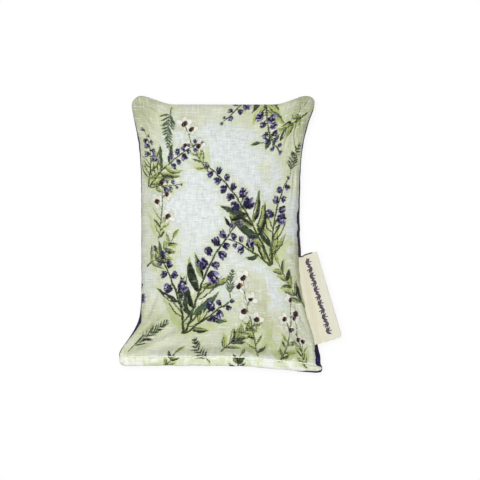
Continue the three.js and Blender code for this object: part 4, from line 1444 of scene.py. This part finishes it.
def label_piece():
    rows = 200
    a = np.sin(np.linspace(0, 1, rows + 1) * math.pi / 2) * 0.35 + np.linspace(0, 1, rows + 1) * 0.65
    outer_top = hinge_top + label_across * LABEL_REACH
    outer = outer_top + a[:, None] * LABEL_WIDTH * label_along
    to_hinge = cross(outer - hinge_top, np.broadcast_to(hinge_along, outer.shape))
    root = to_hinge / cross(label_across, hinge_along)
    bite = np.maximum(LABEL_CORNER - (1 - a) * LABEL_WIDTH, 0)
    cut = LABEL_CORNER - np.sqrt(np.maximum(LABEL_CORNER**2 - bite**2, 0))
    roll = seam_roll(outer[:, 0], outer[:, 1])
    hidden = root + LABEL_HINGE_GAP + roll + 3.5

    # Along the path: inside the seam, under, round the fold, over and inside again
    half = LABEL_GAP / 2 + LABEL_THICKNESS / 2
    flat_steps = 52
    turn_steps = 8
    path = [(-1, t) for t in np.linspace(1, 0, flat_steps)]
    path += [("fold", angle) for angle in np.linspace(-90, 90, turn_steps + 2)[1:-1]]
    path += [(1, t) for t in np.linspace(0, 1, flat_steps)]
    mid, normal, back_of = [], [], []
    for kind, t in path:
        if kind == "fold":
            back = cut + half * (1 - math.cos(math.radians(t)))
            height = np.full(a.shape, half * math.sin(math.radians(t)))
            turn = math.radians(t)
            normal.append((math.cos(turn), math.sin(turn)))
        else:
            back = cut + half + t * (hidden - cut - half)
            spread = 0.12 * np.sin(np.pi * np.clip((back - cut) / root, 0, 1))
            height = kind * (half + spread * (back < root))
            normal.append((0, kind))
        mid.append(height)
        back_of.append(back)
    back_of = np.array(back_of).T
    height = np.array(mid).T
    # The tape rises to the seam, which has rolled towards the front, and its free part waves a little.
    y = outer[:, 1][:, None]
    toward = smooth((back_of - root[:, None] + 2.0) / (roll[:, None] + 2.5))
    free = smooth(1 - back_of / root[:, None])
    wave = 0.35 * np.sin(y / 7.5 + 0.8) * free + 0.18 * np.sin(y / 3.1) * free
    curl = -0.5 * free**2
    centre = SEAM_Z + seam_rise(roll)[:, None] * toward + (wave + curl)
    lengthwise = 0.22 * np.sin(back_of * 0.9 + 0.6) * (1 - a[:, None]) + 0.1 * np.sin(back_of * 1.7)
    points = {}
    for face, lean in (("out", LABEL_THICKNESS / 2), ("in", -LABEL_THICKNESS / 2)):
        shift = np.array(normal)[None, :, :] * lean
        x_back = back_of - shift[..., 0]
        xy = outer[:, None, :] - label_across * x_back[..., None] + label_along * lengthwise[..., None]
        points[face] = np.concatenate([xy, (centre + height + shift[..., 1])[..., None]], -1)
    columns = len(path)
    run = a[:, None] * LABEL_WIDTH + 0 * back_of
    lower_ply = np.arange(columns)[None, :] < columns // 2
    places = np.stack([run, np.where(lower_ply, -1, 1) * (back_of + 0.01)], -1)
    art = Print(run, np.where(lower_ply, -30, back_of), ("mark",))
    label_print(art, np.random.default_rng(2))
    nothing = np.full(run.size, FAR)
    values = {
        "in_mark": np.concatenate([art.inside["mark"], nothing]),
        "tone_mark": np.concatenate([np.clip(art.tone["mark"], 0, 1), np.zeros(run.size)]),
        "across": np.tile(np.clip(back_of / root[:, None], 0, 1).ravel(), 2),
        # Where the painted shadow of the gap between the plies lies, along the open top end
        "open_end_shade": np.tile(((1 - smooth(run / 1.1)) * smooth((back_of - 1.6) / 1.5)).ravel(), 2),
    }
    all_places = np.concatenate([places.reshape(-1, 2) + [2, 20], places.reshape(-1, 2) + [54, 20]])
    all_points = np.concatenate([points["out"].reshape(-1, 3), points["in"].reshape(-1, 3)])
    piece = make_piece("label", all_points, shell_faces(rows + 1, columns), all_places / SHEET, values)
    finish_piece(piece, label_tape(), "label_tape", "label_flap", "label_tail", body=None)
    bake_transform(piece)
    return piece


label_piece()

# Floor, light and camera

floor_mesh = bpy.data.meshes.new("floor")
floor_mesh.from_pydata([(-3, -3, 0), (3, -3, 0), (3, 3, 0), (-3, 3, 0)], [], [(0, 1, 2, 3)])
floor = bpy.data.objects.new("floor", floor_mesh)
bpy.context.scene.collection.objects.link(floor)
# The paper's shadows show through a glow that only the camera sees.
FLOOR_GLOW = 0.88
paper = Shader("white_paper", 0.9, specular=0.5)
rays = paper.node("ShaderNodeLightPath").outputs
glow = paper.node("ShaderNodeEmission", {"Strength": 1.0})
share = paper.times(rays["Is Camera Ray"], FLOOR_GLOW)
lit = paper.node("ShaderNodeMixShader", {0: share, 1: paper.surface.outputs[0], 2: glow.outputs[0]})
paper.feed(paper.tree.nodes["Material Output"].inputs["Surface"], lit.outputs[0])
floor_mesh.materials.append(paper.colour((0.9, 0.9, 0.9, 1)))

# The backdrop is white where it is seen, and a dim light everywhere else.
BACKDROP_LIGHT = 0.22
world = bpy.data.worlds.new("studio")
studio = Nodes(world)
rays = studio.node("ShaderNodeLightPath").outputs
mirrored = studio.add(rays["Is Glossy Ray"], rays["Is Transmission Ray"])
seen = studio.add(rays["Is Camera Ray"], mirrored)
level = studio.node("ShaderNodeMapRange", {"Value": seen, "To Min": BACKDROP_LIGHT, "To Max": 1.0})
backdrop = studio.tree.nodes["Background"].inputs
studio.feed(backdrop["Color"], (1, 1, 1, 1))
studio.feed(backdrop["Strength"], level.outputs["Result"])
bpy.context.scene.world = world


def soft_lamp(name, place, size, power):
    lamp = bpy.data.lights.new(name, "AREA")
    lamp.shape = "SQUARE"
    lamp.size = size
    lamp.energy = power
    holder = bpy.data.objects.new(name, lamp)
    holder.location = place
    x, y, z = place
    holder.rotation_euler = (math.atan2(math.hypot(x, y), z), 0, math.atan2(x, -y))
    bpy.context.scene.collection.objects.link(holder)


soft_lamp("key_lamp", place=(-0.06, 0.06, 1.25), size=0.3, power=14.5)
soft_lamp("fill_lamp", place=(-0.5, 0.1, 1.2), size=0.9, power=1.2)

camera_data = bpy.data.cameras.new("camera")
camera = bpy.data.objects.new("camera", camera_data)
bpy.context.scene.collection.objects.link(camera)
bpy.context.scene.camera = camera
VIEW_WIDTH = 254.4
VIEW_DISTANCE = 1000.0
VIEW_X, VIEW_Y = 9.8, -2.9
SENSOR = 36
camera_data.sensor_width = SENSOR
camera_data.lens = SENSOR * VIEW_DISTANCE / VIEW_WIDTH
camera.location = (VIEW_X * MM, VIEW_Y * MM, (SEAM_Z + VIEW_DISTANCE) * MM)
bpy.context.scene.view_settings.view_transform = "Standard"
